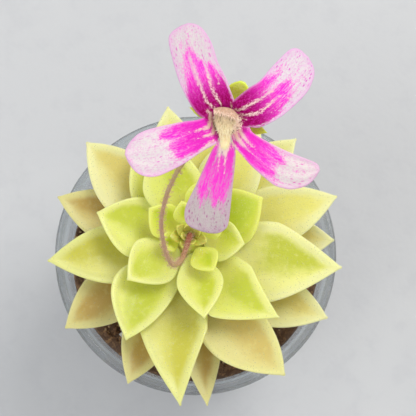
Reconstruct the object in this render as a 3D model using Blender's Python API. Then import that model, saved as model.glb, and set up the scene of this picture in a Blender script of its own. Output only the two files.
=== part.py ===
import math

import bpy
import numpy as np
from mathutils import Vector

for old in list(bpy.data.objects):
    bpy.data.objects.remove(old, do_unlink=True)

# Every size in this file is in millimetres; MM takes it to metres.
MM = 0.001
GAP = 0.3  # clearance kept where one piece rests on or in another

# Pot: round, tapered, with a rolled rim. The origin is the middle of its underside.
POT_HEIGHT = 50.0
RIM_RADIUS = 27.5
WALL_TOP_RADIUS = 26.0
BASE_RADIUS = 20.6
WALL = 0.9
FLOOR = 1.0
POT_SIDES = 48
DRAIN_HOLES = 6
DRAIN_RADIUS = 1.8
DRAIN_CIRCLE = 13.0

# Potting mix
MIX_LEVEL = 45.2
MIX_BUMP = 0.35
MIX_SIDES = 40

# Crown: the stem that the leaves grow from, a little off the pot's middle
CROWN_AT = (-1.0, 1.7)
CROWN_RADIUS = 3.2
CROWN_FOOT = 36.5
CROWN_TOP = 61.4
MIX_HOLE_RADIUS = CROWN_RADIUS + 0.5

# Leaves
LEAF_EDGE_THICK = 0.66
LEAF_FOOT = 47.2  # height at which the oldest leaf leaves the crown
LEAF_CLEAR = 0.42
LEAF_WIDEST = 0.5
LEAF_BASE_SHARE = 0.2  # width at the base as a share of the full width
LEAF_ALONG = 8
LEAF_ACROSS = (-1.0, -0.64, 0.0, 0.64, 1.0)
LAY_CELL = 0.3
LAY_REACH = 36.0

# The rosette, oldest leaf first: azimuth in degrees round the crown, reach of the tip from
# the crown's axis, full width, sideways bend, fullness of the outer half.
LEAVES = (
    (1, 28.0, 12.0, 0.4, 1.8),
    (276, 31.5, 8.8, 0.0, 1.6),
    (160, 27.6, 10.8, 0.3, 1.9),
    (215, 29.2, 11.4, -0.6, 2.1),
    (44, 29.0, 11.5, 0.5, 1.8),
    (332.8, 30.2, 11.6, -2.0, 2.1),
    (99, 27.7, 11.5, 0.3, 1.8),
    (247, 29.8, 10.4, -0.3, 2.2),
    (135.4, 28.1, 12.2, 0.6, 2.0),
    (188, 27.6, 11.6, 0.3, 1.65),
    (16.5, 29.4, 12.0, -0.2, 1.8),
    (307.5, 31.6, 12.6, -2.9, 2.3),
    (78, 26.5, 12.0, 0.2, 1.8),
    (350, 29.3, 15.6, -1.5, 1.35),
    (269.3, 32.0, 12.8, -2.2, 1.2),
    (56, 24.6, 12.0, 0.4, 1.8),
    (122, 20.5, 12.0, -0.4, 1.8),
    (242.8, 23.0, 11.6, -2.6, 2.0),
    (320.6, 22.9, 12.2, -2.4, 1.15),
    (164, 18.4, 11.8, 0.6, 1.7),
    (29, 15.8, 11.5, -0.3, 1.8),
    (105, 18.6, 11.5, 0.5, 1.8),
    (217, 14.6, 10.0, -0.3, 1.8),
    (279, 16.4, 8.8, 0.4, 1.7),
    (350, 10.6, 8.0, 0.2, 1.9),
    (66, 12.4, 8.5, -0.2, 1.9),
    (146, 9.4, 7.0, 0.2, 2.0),
    (302, 8.6, 5.6, 0.0, 2.0),
    (20, 7.4, 5.0, 0.1, 2.0),
    (104, 6.6, 4.4, 0.0, 2.0),
    (196, 6.0, 4.0, 0.1, 2.0),
)
OLD_LEAVES = 8  # the tan ones underneath
OUTER_LEAVES = 17
HEART_LEAVES = 20  # from here on they stand up round the crown


def leaf_steepness(age):
    """Degrees at a leaf's base and tip: the older it is, the flatter it lies."""
    heart = 2.0 * max(0, age + 1 - HEART_LEAVES)
    start = 7.0 + 0.75 * age + heart
    return start, start - max(1.5, 8.0 - 0.25 * age)

# Scape: its route, from the top of the crown to the back of the flower
SCAPE_FOOT_RADIUS = 0.55
SCAPE_TIP_RADIUS = 0.38
SCAPE_SIDES = 10
SCAPE_STATIONS = 30
SCAPE_ROUTE = (
    (-1.0, 1.7, 60.15),
    (-1.0, 1.65, 61.9),
    (-1.1, 0.8, 64.2),
    (-1.6, -1.4, 66.4),
    (-2.4, -4.0, 69.8),
    (-3.4, -5.8, 75.0),
    (-4.3, -6.2, 82.0),
    (-5.0, -5.0, 92.0),
    (-5.2, -2.9, 104.0),
    (-4.2, -0.8, 114.5),
    (-3.1, 0.5, 121.0),
    (-1.6, 2.1, 126.0),
    (1.2, 4.8, 129.4),
    (4.1, 7.3, 130.5),
    (5.1, 7.95, 131.4),
    (5.28, 7.79, 132.47),
)

# Flower: its own plane faces the camera, tipped 10 degrees forward from level.
FLOWER_AT = (5.28, 5.85, 140.0)
FLOWER_TIP = math.radians(10)
LOBE_THICK = 0.62
LOBE_ALONG = 9
LOBE_ACROSS = 6
COLLAR_ROWS = 2
MOUTH_AT = (-0.2, -0.4)
MOUTH_RADII = (2.0, 1.7)

# Where neighbouring lobes meet, going round anticlockwise from between the two upper lobes
NOTCHES = ((0.9, 2.9), (-3.6, 0.3), (-1.7, -3.4), (1.0, -4.1), (3.1, -1.0))
# Each lobe's two edges from notch to tip, the first edge from the earlier notch
LOBES = (
    (  # upper left
        ((0.2, 4.7), (-0.2, 5.9), (-1.4, 8.3), (-2.3, 11.0), (-3.5, 13.0), (-4.6, 13.8), (-5.7, 14.0)),
        ((-4.4, 0.9), (-5.6, 2.6), (-6.9, 5.3), (-7.9, 8.5), (-8.5, 11.4), (-8.1, 12.6), (-6.9, 13.5),
         (-5.7, 14.0)),
    ),
    (  # left
        ((-4.6, 0.0), (-6.9, -0.3), (-10.6, -1.1), (-12.6, -1.8), (-13.8, -2.8), (-14.6, -4.0),
         (-14.8, -4.9)),
        ((-3.7, -4.5), (-6.4, -6.3), (-9.2, -7.7), (-10.6, -8.1), (-12.0, -8.0), (-13.2, -7.4),
         (-14.2, -6.2), (-14.8, -4.9)),
    ),
    (  # lower
        ((-2.3, -4.3), (-2.9, -5.6), (-4.6, -9.3), (-6.0, -12.2), (-6.2, -14.1), (-5.5, -15.2),
         (-3.9, -15.9), (-2.7, -16.2)),
        ((1.1, -5.0), (0.9, -7.5), (0.6, -10.2), (0.1, -14.6), (-0.5, -15.7), (-1.5, -16.2), (-2.7, -16.2)),
    ),
    (  # right
        ((1.7, -4.7), (3.4, -6.6), (6.3, -9.1), (7.8, -9.7), (9.2, -9.9), (11.2, -9.4), (12.5, -8.3),
         (13.2, -7.2)),
        ((3.7, -1.9), (6.3, -3.4), (9.1, -4.7), (12.2, -5.9), (13.0, -6.5), (13.2, -7.2)),
    ),
    (  # upper right
        ((3.8, -1.1), (5.0, -0.9), (7.9, 0.7), (11.1, 3.7), (12.2, 5.8), (12.4, 7.0), (12.1, 8.1),
         (11.5, 9.1)),
        ((1.6, 3.5), (3.0, 4.6), (4.5, 5.6), (6.0, 7.3), (7.6, 9.0), (9.0, 10.2), (10.2, 10.2),
         (11.5, 9.1)),
    ),
)
LOBE_DROP = (0.9, 0.7, 1.0, 0.8, 0.6)  # how far each tip bends back
# The tube and spur: centre (across, up, forward) and outer radius at each station
TUBE = (
    (0.0, -0.45, -1.6, 2.25),
    (0.0, -0.5, -2.7, 1.95),
    (0.0, -0.65, -3.8, 1.65),
    (0.1, -1.1, -5.0, 1.25),
    (0.25, -1.8, -6.3, 0.85),
    (0.5, -2.6, -7.8, 0.6),
    (0.8, -3.2, -9.5, 0.45),
    (1.1, -3.6, -11.3, 0.35),
)
TUBE_WALL = 0.62
TUBE_OPEN = 3  # stations that the hollow of the tube passes

# Sepals: azimuth in the flower's plane, reach, full width
SEPALS = ((69, 5.9, 3.8), (161, 5.7, 2.0), (212, 4.4, 2.0), (300, 4.6, 2.0), (343, 5.8, 2.0))
SEPAL_THICK = 0.6
SEPAL_PATH = ((0.5, -5.4), (2.3, -5.3), (3.3, -4.1), (4.4, -2.7), (5.8, -2.0))
RECEPTACLE_AT = (0.0, 0.6, -5.2)
# Its radius along the flower's axis, from the neck that the scape ends under
RECEPTACLE = (
    (0.0, -2.1), (0.55, -2.1), (0.8, -1.6), (1.5, -1.0), (1.9, -0.1), (1.7, 0.8), (0.9, 1.4), (0.0, 1.5),
)

# Palate: middle (across, up) and width of the hairy ridge, from the mouth to the lower lobe
PALATE = (
    (-0.35, 0.3, 2.7), (-0.35, -0.5, 2.6), (-0.3, -1.4, 2.1), (-0.25, -2.3, 1.5), (-0.25, -3.2, 1.25),
    (-0.3, -4.0, 1.1), (-0.3, -4.6, 0.6),
)
PALATE_HAIRS = 14

# Stigma: the upper and lower edge of the flap over the throat
STIGMA_UPPER = ((-1.9, 1.65), (-0.95, 1.85), (0.1, 1.8), (0.9, 1.5), (1.5, 1.0))
STIGMA_LOWER = ((-1.9, 1.0), (-0.9, 0.75), (0.2, 0.35), (0.9, 0.15), (1.5, 0.15))


def paint(name, colour, roughness):
    mat = bpy.data.materials.new(name)
    mat.use_nodes = True
    shader = mat.node_tree.nodes["Principled BSDF"]
    shader.inputs["Base Color"].default_value = (*colour, 1.0)
    shader.inputs["Roughness"].default_value = roughness
    shader.inputs["Metallic"].default_value = 0.0
    return mat


def add(name, verts, faces, mat, smooth=40.0):
    mesh = bpy.data.meshes.new(name)
    mesh.from_pydata([Vector(v) * MM for v in verts], [], [tuple(int(i) for i in f) for f in faces])
    mesh.validate()
    mesh.materials.append(mat)
    mesh.shade_smooth()
    mesh.set_sharp_from_angle(angle=math.radians(smooth))
    obj = bpy.data.objects.new(name, mesh)
    bpy.context.scene.collection.objects.link(obj)
    return obj


def apply(obj, kind, **settings):
    modifier = obj.modifiers.new(kind.title(), kind)
    for key, value in settings.items():
        setattr(modifier, key, value)
    bpy.context.view_layer.update()
    graph = bpy.context.evaluated_depsgraph_get()
    mesh = bpy.data.meshes.new_from_object(obj.evaluated_get(graph))
    obj.modifiers.clear()
    obj.data = mesh


def union(name, pieces, mat):
    """The first piece grows the others into itself."""
    base, rest = pieces[0], pieces[1:]
    group = bpy.data.collections.new(name + "_pieces")
    bpy.context.scene.collection.children.link(group)
    for piece in rest:
        bpy.context.scene.collection.objects.unlink(piece)
        group.objects.link(piece)
    apply(base, "BOOLEAN", operation="UNION", operand_type="COLLECTION", collection=group, solver="EXACT")
    for piece in rest:
        bpy.data.objects.remove(piece, do_unlink=True)
    bpy.data.collections.remove(group)
    base.data.materials.clear()
    base.data.materials.append(mat)
    base.name = name
    return base


def cut(obj, cutter):
    apply(obj, "BOOLEAN", operation="DIFFERENCE", object=cutter, solver="EXACT")
    bpy.data.objects.remove(cutter, do_unlink=True)


def turned(profile, sides, at=(0.0, 0.0)):
    """A profile of (radius, height) pairs that starts and ends on the axis, turned round it."""
    verts, rings = [], []
    for radius, height in profile:
        if radius == 0.0:
            rings.append([len(verts)] * sides)
            verts.append((at[0], at[1], height))
            continue
        rings.append(list(range(len(verts), len(verts) + sides)))
        for k in range(sides):
            a = math.tau * k / sides
            verts.append((at[0] + radius * math.cos(a), at[1] + radius * math.sin(a), height))
    return verts, joined(rings)


def joined(rings):
    """Faces between closed rings of equal length; a ring of one repeated point makes a fan."""
    faces = []
    for low, high in zip(rings, rings[1:]):
        for k in range(len(low)):
            j = (k + 1) % len(low)
            face = [low[k], low[j], high[j], high[k]]
            faces.append(list(dict.fromkeys(face)))
    return [f for f in faces if len(f) > 2]


def slab(front, back):
    """A closed blade between two grids of points, both split along the same diagonals."""
    rows, cols = len(front), len(front[0])
    verts = [p for grid in (front, back) for row in grid for p in row]
    size = rows * cols
    faces = []
    for i in range(rows - 1):
        for j in range(cols - 1):
            a, b = i * cols + j, i * cols + j + 1
            c, d = b + cols, a + cols
            for tri in ((a, b, c), (a, c, d)):
                faces.append(tri)
                faces.append(tuple(size + k for k in reversed(tri)))
    border = [j for j in range(cols)]
    border += [i * cols + cols - 1 for i in range(1, rows)]
    border += [(rows - 1) * cols + j for j in range(cols - 2, -1, -1)]
    border += [i * cols for i in range(rows - 2, 0, -1)]
    for k, a in enumerate(border):
        b = border[(k + 1) % len(border)]
        faces += [(b, a, size + a), (b, size + a, size + b)]
    return verts, faces


def spline(points, count):
    """Points spread evenly along a smooth curve through the given ones."""
    pts = np.array(points, float)
    ends = np.vstack([2 * pts[0] - pts[1], pts, 2 * pts[-1] - pts[-2]])
    dense = []
    for i in range(1, len(ends) - 2):
        p0, p1, p2, p3 = ends[i - 1 : i + 3]
        for t in np.linspace(0, 1, 24, endpoint=False):
            dense.append(
                0.5 * (2 * p1 + (p2 - p0) * t + (2 * p0 - 5 * p1 + 4 * p2 - p3) * t**2
                       + (3 * p1 - p0 - 3 * p2 + p3) * t**3)
            )
    dense = np.array(dense + [pts[-1]])
    return spread(dense, count)


def spread(points, count):
    pts = np.array(points, float)
    run = np.concatenate([[0.0], np.cumsum(np.linalg.norm(np.diff(pts, axis=0), axis=1))])
    at = np.linspace(0, run[-1], count)
    return np.stack([np.interp(at, run, pts[:, k]) for k in range(pts.shape[1])], axis=1)


def piped(centres, radii, sides):
    """A round rod along a line of centres, closed at both ends."""
    pts = [Vector(c) for c in centres]
    verts, rings = [], []
    side = Vector((1, 0, 0))
    for i, p in enumerate(pts):
        along = (pts[min(i + 1, len(pts) - 1)] - pts[max(i - 1, 0)]).normalized()
        side = (side - along * side.dot(along)).normalized()
        up = along.cross(side)
        rings.append(list(range(len(verts), len(verts) + sides)))
        for k in range(sides):
            a = math.tau * k / sides
            verts.append(tuple(p + (side * math.cos(a) + up * math.sin(a)) * radii[i]))
    for end, p in ((0, pts[0]), (len(rings), pts[-1])):
        rings.insert(end if end == 0 else len(rings), [len(verts)] * sides)
        verts.append(tuple(p))
    return verts, joined(rings)


def flower(across, up, forward):
    """A point of the flower's own frame, in the world."""
    c, s = math.cos(FLOWER_TIP), math.sin(FLOWER_TIP)
    return (
        FLOWER_AT[0] + across,
        FLOWER_AT[1] + up * c - forward * s,
        FLOWER_AT[2] + up * s + forward * c,
    )


def make_pot():
    top = POT_HEIGHT
    profile = (
        (0.0, 0.0), (BASE_RADIUS - 0.6, 0.0), (BASE_RADIUS, 0.6),
        (WALL_TOP_RADIUS, top - 3.2), (RIM_RADIUS - 0.5, top - 2.0), (RIM_RADIUS, top - 1.5),
        (RIM_RADIUS, top - 0.6), (RIM_RADIUS - 0.5, top - 0.1), (RIM_RADIUS - 1.0, top),
        (RIM_RADIUS - 1.7, top - 0.2), (WALL_TOP_RADIUS - WALL + 0.2, top - 1.0),
        (WALL_TOP_RADIUS - WALL, top - 3.2), (BASE_RADIUS - WALL, FLOOR + 0.6),
        (BASE_RADIUS - WALL - 0.6, FLOOR), (0.0, FLOOR),
    )
    pot = add("pot", *turned(profile, POT_SIDES), paint("clear plastic", (0.62, 0.68, 0.72), 0.25))
    holes = []
    for k in range(DRAIN_HOLES):
        a = math.tau * (k + 0.54) / DRAIN_HOLES
        at = (DRAIN_CIRCLE * math.cos(a), DRAIN_CIRCLE * math.sin(a))
        bore = ((0.0, -1.0), (DRAIN_RADIUS, -1.0), (DRAIN_RADIUS, FLOOR + 1.0), (0.0, FLOOR + 1.0))
        holes.append(add("drain_%d" % k, *turned(bore, 12, at), pot.data.materials[0]))
    for hole in holes:
        cut(pot, hole)
    return pot


def mix_height(x, y):
    bumps = math.sin(0.83 * x + 0.6) * math.cos(0.71 * y - 0.4)
    bumps += 0.7 * math.sin(1.37 * x - 1.13 * y + 1.9)
    return MIX_LEVEL + MIX_BUMP * bumps - 0.0006 * (x * x + y * y)


def make_mix():
    foot = BASE_RADIUS - WALL - 0.6 - GAP
    slope = (WALL_TOP_RADIUS - BASE_RADIUS) / (POT_HEIGHT - 3.8)
    inner = BASE_RADIUS - WALL - GAP + slope * (MIX_LEVEL - 2.0)
    rows = [((0.0, 0.0), 0.0, FLOOR + GAP), ((0.0, 0.0), foot, FLOOR + GAP)]
    rows.append(((0.0, 0.0), BASE_RADIUS - WALL - GAP, FLOOR + GAP + 0.7))
    steps = 7
    for k in range(steps + 1):
        share = k / steps
        at = (CROWN_AT[0] * share, CROWN_AT[1] * share)
        rows.append((at, inner + (MIX_HOLE_RADIUS - inner) * share, None))
    rows.append((CROWN_AT, MIX_HOLE_RADIUS, CROWN_FOOT - GAP))
    rows.append((CROWN_AT, 0.0, CROWN_FOOT - GAP))
    verts, rings = [], []
    for at, radius, height in rows:
        if radius == 0.0:
            rings.append([len(verts)] * MIX_SIDES)
            verts.append((*at, height))
            continue
        rings.append(list(range(len(verts), len(verts) + MIX_SIDES)))
        for k in range(MIX_SIDES):
            a = math.tau * k / MIX_SIDES
            x, y = at[0] + radius * math.cos(a), at[1] + radius * math.sin(a)
            verts.append((x, y, mix_height(x, y) if height is None else height))
    return add("potting_mix", verts, joined(rings), paint("potting mix", (0.09, 0.075, 0.06), 0.95))


def crown_radius(height):
    share = max(0.0, min(1.0, (height - 50.0) / (CROWN_TOP - 50.0)))
    return CROWN_RADIUS - 1.85 * share**1.4


def make_crown():
    top = CROWN_TOP
    profile = [(0.0, CROWN_FOOT), (CROWN_RADIUS - 1.2, CROWN_FOOT), (CROWN_RADIUS - 0.2, CROWN_FOOT + 2.5)]
    profile += [(crown_radius(z), z) for z in (43.0, 47.0, 50.0, 53.0, 56.0, 58.5, top - 0.8)]
    socket = SCAPE_FOOT_RADIUS + GAP + 0.05
    profile += [(socket + 0.3, top), (socket, top), (socket, top - 1.6), (0.0, top - 1.6)]
    return add("crown", *turned(profile, 16, CROWN_AT), paint("crown", (0.42, 0.38, 0.16), 0.7))


def leaf_outline(s, fullness):
    """Half-width of a leaf as a share of its greatest, from base (0) to tip (1)."""
    swell = np.sin(0.5 * math.pi * np.clip(s / LEAF_WIDEST, 0, 1))
    rise = LEAF_BASE_SHARE + (1 - LEAF_BASE_SHARE) * swell
    fall = 1.0 - np.clip((s - LEAF_WIDEST) / (1 - LEAF_WIDEST), 0, 1) ** fullness
    return np.maximum(rise * fall, 0.03)


def leaf_grids(age, foot, along, across):
    """The upper and under surfaces of a leaf that leaves the crown at height foot."""
    azimuth, reach, width, bend, fullness = LEAVES[age]
    start, end = leaf_steepness(age)
    thick = 0.5 + 0.035 * width
    base = crown_radius(foot) + GAP + 0.1 + thick * math.sin(math.radians(start))
    s = np.linspace(0, 1, along + 1)
    t = np.asarray(across)
    fine = np.linspace(0, 1, 201)
    slope = np.radians(start + (end - start) * fine)
    out = np.concatenate([[0], np.cumsum(np.cos(0.5 * (slope[1:] + slope[:-1])))]) / 200
    up = np.concatenate([[0], np.cumsum(np.sin(0.5 * (slope[1:] + slope[:-1])))]) / 200
    length = (reach - base) / out[-1]
    spine_out = base + length * np.interp(s, fine, out)
    spine_up = foot + length * np.interp(s, fine, up)
    tilt = np.interp(s, fine, slope)
    half = 0.5 * width * leaf_outline(s, fullness)
    trough = (0.2 if age < OUTER_LEAVES else 0.24) * half * (0.6 + 0.4 * s)
    thick = thick + (LEAF_EDGE_THICK - thick) * s
    side = bend * np.sin(math.pi * s) + 0.6 * bend * s
    a = math.radians(azimuth)
    radial, lateral = np.array([math.cos(a), math.sin(a), 0.0]), np.array([-math.sin(a), math.cos(a), 0.0])
    level = np.array([0.0, 0.0, 1.0])
    centre = np.array([*CROWN_AT, 0.0])
    upper = np.empty((along + 1, len(t), 3))
    under = np.empty_like(upper)
    for i in range(along + 1):
        normal = level * math.cos(tilt[i]) - radial * math.sin(tilt[i])
        spine = centre + radial * spine_out[i] + level * spine_up[i]
        for j in range(len(t)):
            edge = abs(t[j]) ** 2.2
            point = spine + lateral * (half[i] * t[j] + side[i]) + normal * trough[i] * edge
            depth = thick[i] + (LEAF_EDGE_THICK - thick[i]) * edge
            upper[i, j] = point + normal * depth
            under[i, j] = point
    return upper, under


def lay_map():
    """Height of the filling and the rim under the leaves, in square cells."""
    count = int(2 * LAY_REACH / LAY_CELL) + 1
    ground = np.full((count, count), MIX_LEVEL + 1.0)
    side = (np.arange(count) + 0.5) * LAY_CELL - LAY_REACH
    away = np.hypot(*np.meshgrid(side, side, indexing="ij"))
    ground[(away > WALL_TOP_RADIUS - WALL - 0.5) & (away < RIM_RADIUS + 0.5)] = POT_HEIGHT
    ground[away > RIM_RADIUS + 0.5] = 0.0
    return ground


def lay_leaves():
    """Each leaf in turn comes to lie just clear of those under it."""
    ground = lay_map()
    across = np.linspace(-1, 1, 45)
    laid = []

    def cells(points):
        index = ((points[..., :2] + LAY_REACH) / LAY_CELL).astype(int)
        return index[..., 0].ravel(), index[..., 1].ravel(), points[..., 2].ravel()

    for age in range(len(LEAVES)):
        upper, under = leaf_grids(age, LEAF_FOOT, 90, across)
        x, y, z = cells(under)
        lift = max(0.0, float((ground[x, y] + LEAF_CLEAR - z).max()))
        foot = LEAF_FOOT + lift
        upper, under = leaf_grids(age, foot, 90, across)
        x, y, z = cells(upper)
        np.maximum.at(ground, (x, y), z)
        laid.append(foot)
    return laid


def make_leaves():
    tones = {
        "old": paint("old leaf", (0.56, 0.47, 0.17), 0.5),
        "outer": paint("outer leaf", (0.62, 0.62, 0.17), 0.45),
        "inner": paint("inner leaf", (0.55, 0.66, 0.16), 0.42),
    }
    objects = []
    for k, foot in enumerate(lay_leaves()):
        tone = "old" if k < OLD_LEAVES else "outer" if k < OUTER_LEAVES else "inner"
        upper, under = leaf_grids(k, foot, LEAF_ALONG, LEAF_ACROSS)
        verts, faces = slab(upper[::-1].tolist(), under[::-1].tolist())
        objects.append(add("leaf_%02d" % (k + 1), verts, faces, tones[tone].copy()))
    return objects


def limb_forward(across, up, drop, along, over):
    """How far a point of the lobes stands forward: along from notch to tip, over across the lobe."""
    away = math.hypot(across - MOUTH_AT[0], up - MOUTH_AT[1])
    funnel = -0.75 * math.exp(-((max(0.0, away - 1.7) / 1.1) ** 2))
    return funnel - drop * along**2 - 0.22 * over**2 * min(1.0, 3 * along)


def lobe_rows(index):
    """One lobe's grid of points (across, up, forward), from the mouth to the tip."""
    first, last = NOTCHES[index], NOTCHES[(index + 1) % 5]
    sides = [spread((start, *edge), LOBE_ALONG + 1) for start, edge in zip((first, last), LOBES[index])]
    angles = [math.atan2(p[1] - MOUTH_AT[1], p[0] - MOUTH_AT[0]) for p in (first, last)]
    if angles[1] < angles[0]:
        angles[1] += math.tau
    rows = []
    ring = []
    for j in range(LOBE_ACROSS + 1):
        a = angles[0] + (angles[1] - angles[0]) * j / LOBE_ACROSS
        x, y = MOUTH_AT[0] + MOUTH_RADII[0] * math.cos(a), MOUTH_AT[1] + MOUTH_RADII[1] * math.sin(a)
        ring.append((x, y))
    for i in range(COLLAR_ROWS):
        share = i / COLLAR_ROWS
        row = []
        for j, start in enumerate(ring):
            v = j / LOBE_ACROSS
            end = (first[0] + (last[0] - first[0]) * v, first[1] + (last[1] - first[1]) * v)
            x, y = start[0] + (end[0] - start[0]) * share, start[1] + (end[1] - start[1]) * share
            row.append((x, y, limb_forward(x, y, 0.0, 0.0, 0.0)))
        rows.append(row)
    for i in range(LOBE_ALONG + 1):
        row = []
        for j in range(LOBE_ACROSS + 1):
            v = j / LOBE_ACROSS
            x, y = sides[0][i] * (1 - v) + sides[1][i] * v
            row.append((x, y, limb_forward(x, y, LOBE_DROP[index], i / LOBE_ALONG, 2 * v - 1)))
        rows.append(row)
    return rows


def make_corolla():
    verts, faces, known = [], [], {}

    def vertex(point, layer):
        key = (layer, round(point[0], 4), round(point[1], 4), round(point[2], 4))
        if key not in known:
            known[key] = len(verts)
            verts.append(flower(*point))
        return known[key]

    mouth = {"front": [], "back": []}
    for index in range(5):
        rows = lobe_rows(index)
        front = [[vertex(p, "front") for p in row] for row in rows]
        behind = []
        for i, row in enumerate(rows):
            line = []
            for x, y, z in row:
                grow = TUBE_WALL * max(0.0, 1.0 - i / COLLAR_ROWS)
                away = math.hypot(x - MOUTH_AT[0], y - MOUTH_AT[1])
                x += grow * (x - MOUTH_AT[0]) / away
                y += grow * (y - MOUTH_AT[1]) / away
                line.append((x, y, z - LOBE_THICK))
            behind.append([vertex(p, "back") for p in line])
        for i in range(len(rows) - 1):
            for j in range(LOBE_ACROSS):
                for tri in ((0, 1, 2), (0, 2, 3)):
                    for grid, order in ((front, 1), (behind, -1)):
                        corner = [grid[i][j], grid[i][j + 1], grid[i + 1][j + 1], grid[i + 1][j]]
                        face = [corner[k] for k in tri][::-order]
                        if len(set(face)) == 3:
                            faces.append(face)
        edge = [(i, LOBE_ACROSS) for i in range(COLLAR_ROWS, len(rows))]
        edge += [(i, 0) for i in range(len(rows) - 2, COLLAR_ROWS - 1, -1)]
        for (i, j), (m, n) in zip(edge, edge[1:]):
            a, b = front[i][j], front[m][n]
            c, d = behind[m][n], behind[i][j]
            if a != b:
                faces += [(a, b, c), (a, c, d)]
        mouth["front"] += front[0][:-1]
        mouth["back"] += behind[0][:-1]

    count = len(mouth["front"])
    angles = []
    for index in range(5):
        first, last = NOTCHES[index], NOTCHES[(index + 1) % 5]
        pair = [math.atan2(p[1] - MOUTH_AT[1], p[0] - MOUTH_AT[0]) for p in (first, last)]
        if pair[1] < pair[0]:
            pair[1] += math.tau
        angles += [pair[0] + (pair[1] - pair[0]) * j / LOBE_ACROSS for j in range(LOBE_ACROSS)]

    def tube_ring(station, shrink, layer):
        x, y, z, radius = TUBE[station]
        low = Vector(TUBE[max(0, station - 1)][:3])
        high = Vector(TUBE[min(len(TUBE) - 1, station + 1)][:3])
        along = (high - low).normalized()
        side = (Vector((1, 0, 0)) - along * along.x).normalized()
        rise = side.cross(along)
        ring = []
        for a in angles:
            p = Vector((x, y, z)) + (side * math.cos(a) + rise * math.sin(a)) * (radius - shrink)
            ring.append(vertex(tuple(p), layer))
        return ring

    outer = [mouth["back"]] + [tube_ring(k, 0.0, "outer") for k in range(len(TUBE))]
    inner = [mouth["front"]] + [tube_ring(k, TUBE_WALL, "inner") for k in range(TUBE_OPEN)]
    end = Vector(TUBE[-1][:3]) + (Vector(TUBE[-1][:3]) - Vector(TUBE[-2][:3])).normalized() * 0.25
    outer.append([vertex(tuple(end), "end")] * count)
    floor = Vector(TUBE[TUBE_OPEN - 1][:3]) + Vector((0, 0, -0.25))
    inner.append([vertex(tuple(floor), "floor")] * count)
    faces += [f[::-1] for f in joined(outer)]
    faces += joined(inner)
    corolla = add("corolla", verts, faces, paint("petal", (0.86, 0.25, 0.62), 0.5))
    return corolla


def make_scape():
    centres = spline(SCAPE_ROUTE, SCAPE_STATIONS)
    radii = np.linspace(SCAPE_FOOT_RADIUS, SCAPE_TIP_RADIUS, SCAPE_STATIONS)
    rod = piped(centres.tolist(), radii, SCAPE_SIDES)
    return add("scape", *rod, paint("scape", (0.45, 0.24, 0.2), 0.5))


def sepal(azimuth, reach, width):
    path = spline(SEPAL_PATH, 8)
    grow = reach / SEPAL_PATH[-1][0]
    a = math.radians(azimuth)
    front, back = [], []
    for i, (away, forward) in enumerate(path):
        s = i / (len(path) - 1)
        half = 0.5 * width * (0.55 + 0.45 * math.sin(math.pi * min(1.0, s / 0.65) / 2))
        half *= max(0.1, 1.0 - max(0.0, (s - 0.65) / 0.35) ** 2)
        x = RECEPTACLE_AT[0] * (1 - s) + away * grow * math.cos(a)
        y = RECEPTACLE_AT[1] * (1 - s) + away * grow * math.sin(a)
        near, far = path[max(i - 1, 0)], path[min(i + 1, len(path) - 1)]
        run = math.hypot(far[0] - near[0], far[1] - near[1])
        lean = ((far[1] - near[1]) / run, (far[0] - near[0]) / run)
        rows = ([], [])
        for j in range(5):
            v = j / 2 - 1
            px = x - math.sin(a) * half * v
            py = y + math.cos(a) * half * v
            cup = 0.18 * half * v * v
            for row, depth in zip(rows, (cup, cup - SEPAL_THICK)):
                offset = -lean[0] * depth
                at = (px + offset * math.cos(a), py + offset * math.sin(a))
                row.append(flower(*at, forward + lean[1] * depth))
        front.append(rows[0])
        back.append(rows[1])
    return slab(front[::-1], back[::-1])


def make_calyx():
    green = paint("calyx", (0.5, 0.6, 0.1), 0.5)
    verts, faces = turned(RECEPTACLE, 20)
    ball = add("calyx_cup", [flower(*(Vector(v) + Vector(RECEPTACLE_AT))) for v in verts], faces, green)
    pieces = [ball] + [add("sepal", *sepal(*s), green) for s in SEPALS]
    calyx = union("calyx", pieces, green)
    stations = [(0.0, -0.42, -0.9, 2.75 - GAP)] + list(TUBE)
    centres = [flower(*s[:3]) for s in stations]
    cut(calyx, add("tube_room", *piped(centres, [s[3] + GAP for s in stations], 24), green))
    return calyx


def palate_forward(across, up):
    return limb_forward(across, up, 0.0, 0.0, 0.0) + GAP + 0.08


def make_palate():
    cream = paint("palate", (0.84, 0.8, 0.52), 0.8)
    front, back = [], []
    for i, (middle, up, width) in enumerate(PALATE):
        rows = ([], [])
        for j in range(7):
            v = j / 3 - 1
            x, y = middle + 0.5 * width * v, up - 0.3 * 0.5 * width * v * max(0.0, 1.0 - i / 2)
            low = palate_forward(x, y)
            crest = 0.62 + 0.45 * (1 - v * v) * math.sin(math.pi * (0.2 + 0.7 * i / (len(PALATE) - 1)))
            rows[0].append(flower(x, y, low + crest))
            rows[1].append(flower(x, y, low))
        front.append(rows[0])
        back.append(rows[1])
    pieces = [add("palate_ridge", *slab(front[::-1], back[::-1]), cream)]
    spots = np.array(PALATE)
    for k in range(PALATE_HAIRS):
        at = (0.16 + 0.78 * (k + 0.5) / PALATE_HAIRS) * (len(spots) - 1)
        middle, up, width = (np.interp(at, range(len(spots)), spots[:, c]) for c in range(3))
        v = 0.62 * math.sin(2.4 * k)
        x, low = middle + 0.5 * width * v, palate_forward(middle + 0.5 * width * v, up)
        foot = (x, up, low + 0.3)
        tip = (x + 0.35 * v, up - 0.25, low + 1.5 + 0.15 * math.sin(1.7 * k))
        rod = piped([flower(*foot), flower(*tip)], (0.22, 0.08), 4)
        pieces.append(add("palate_hair", *rod, cream))
    return union("palate", pieces, cream)


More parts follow.
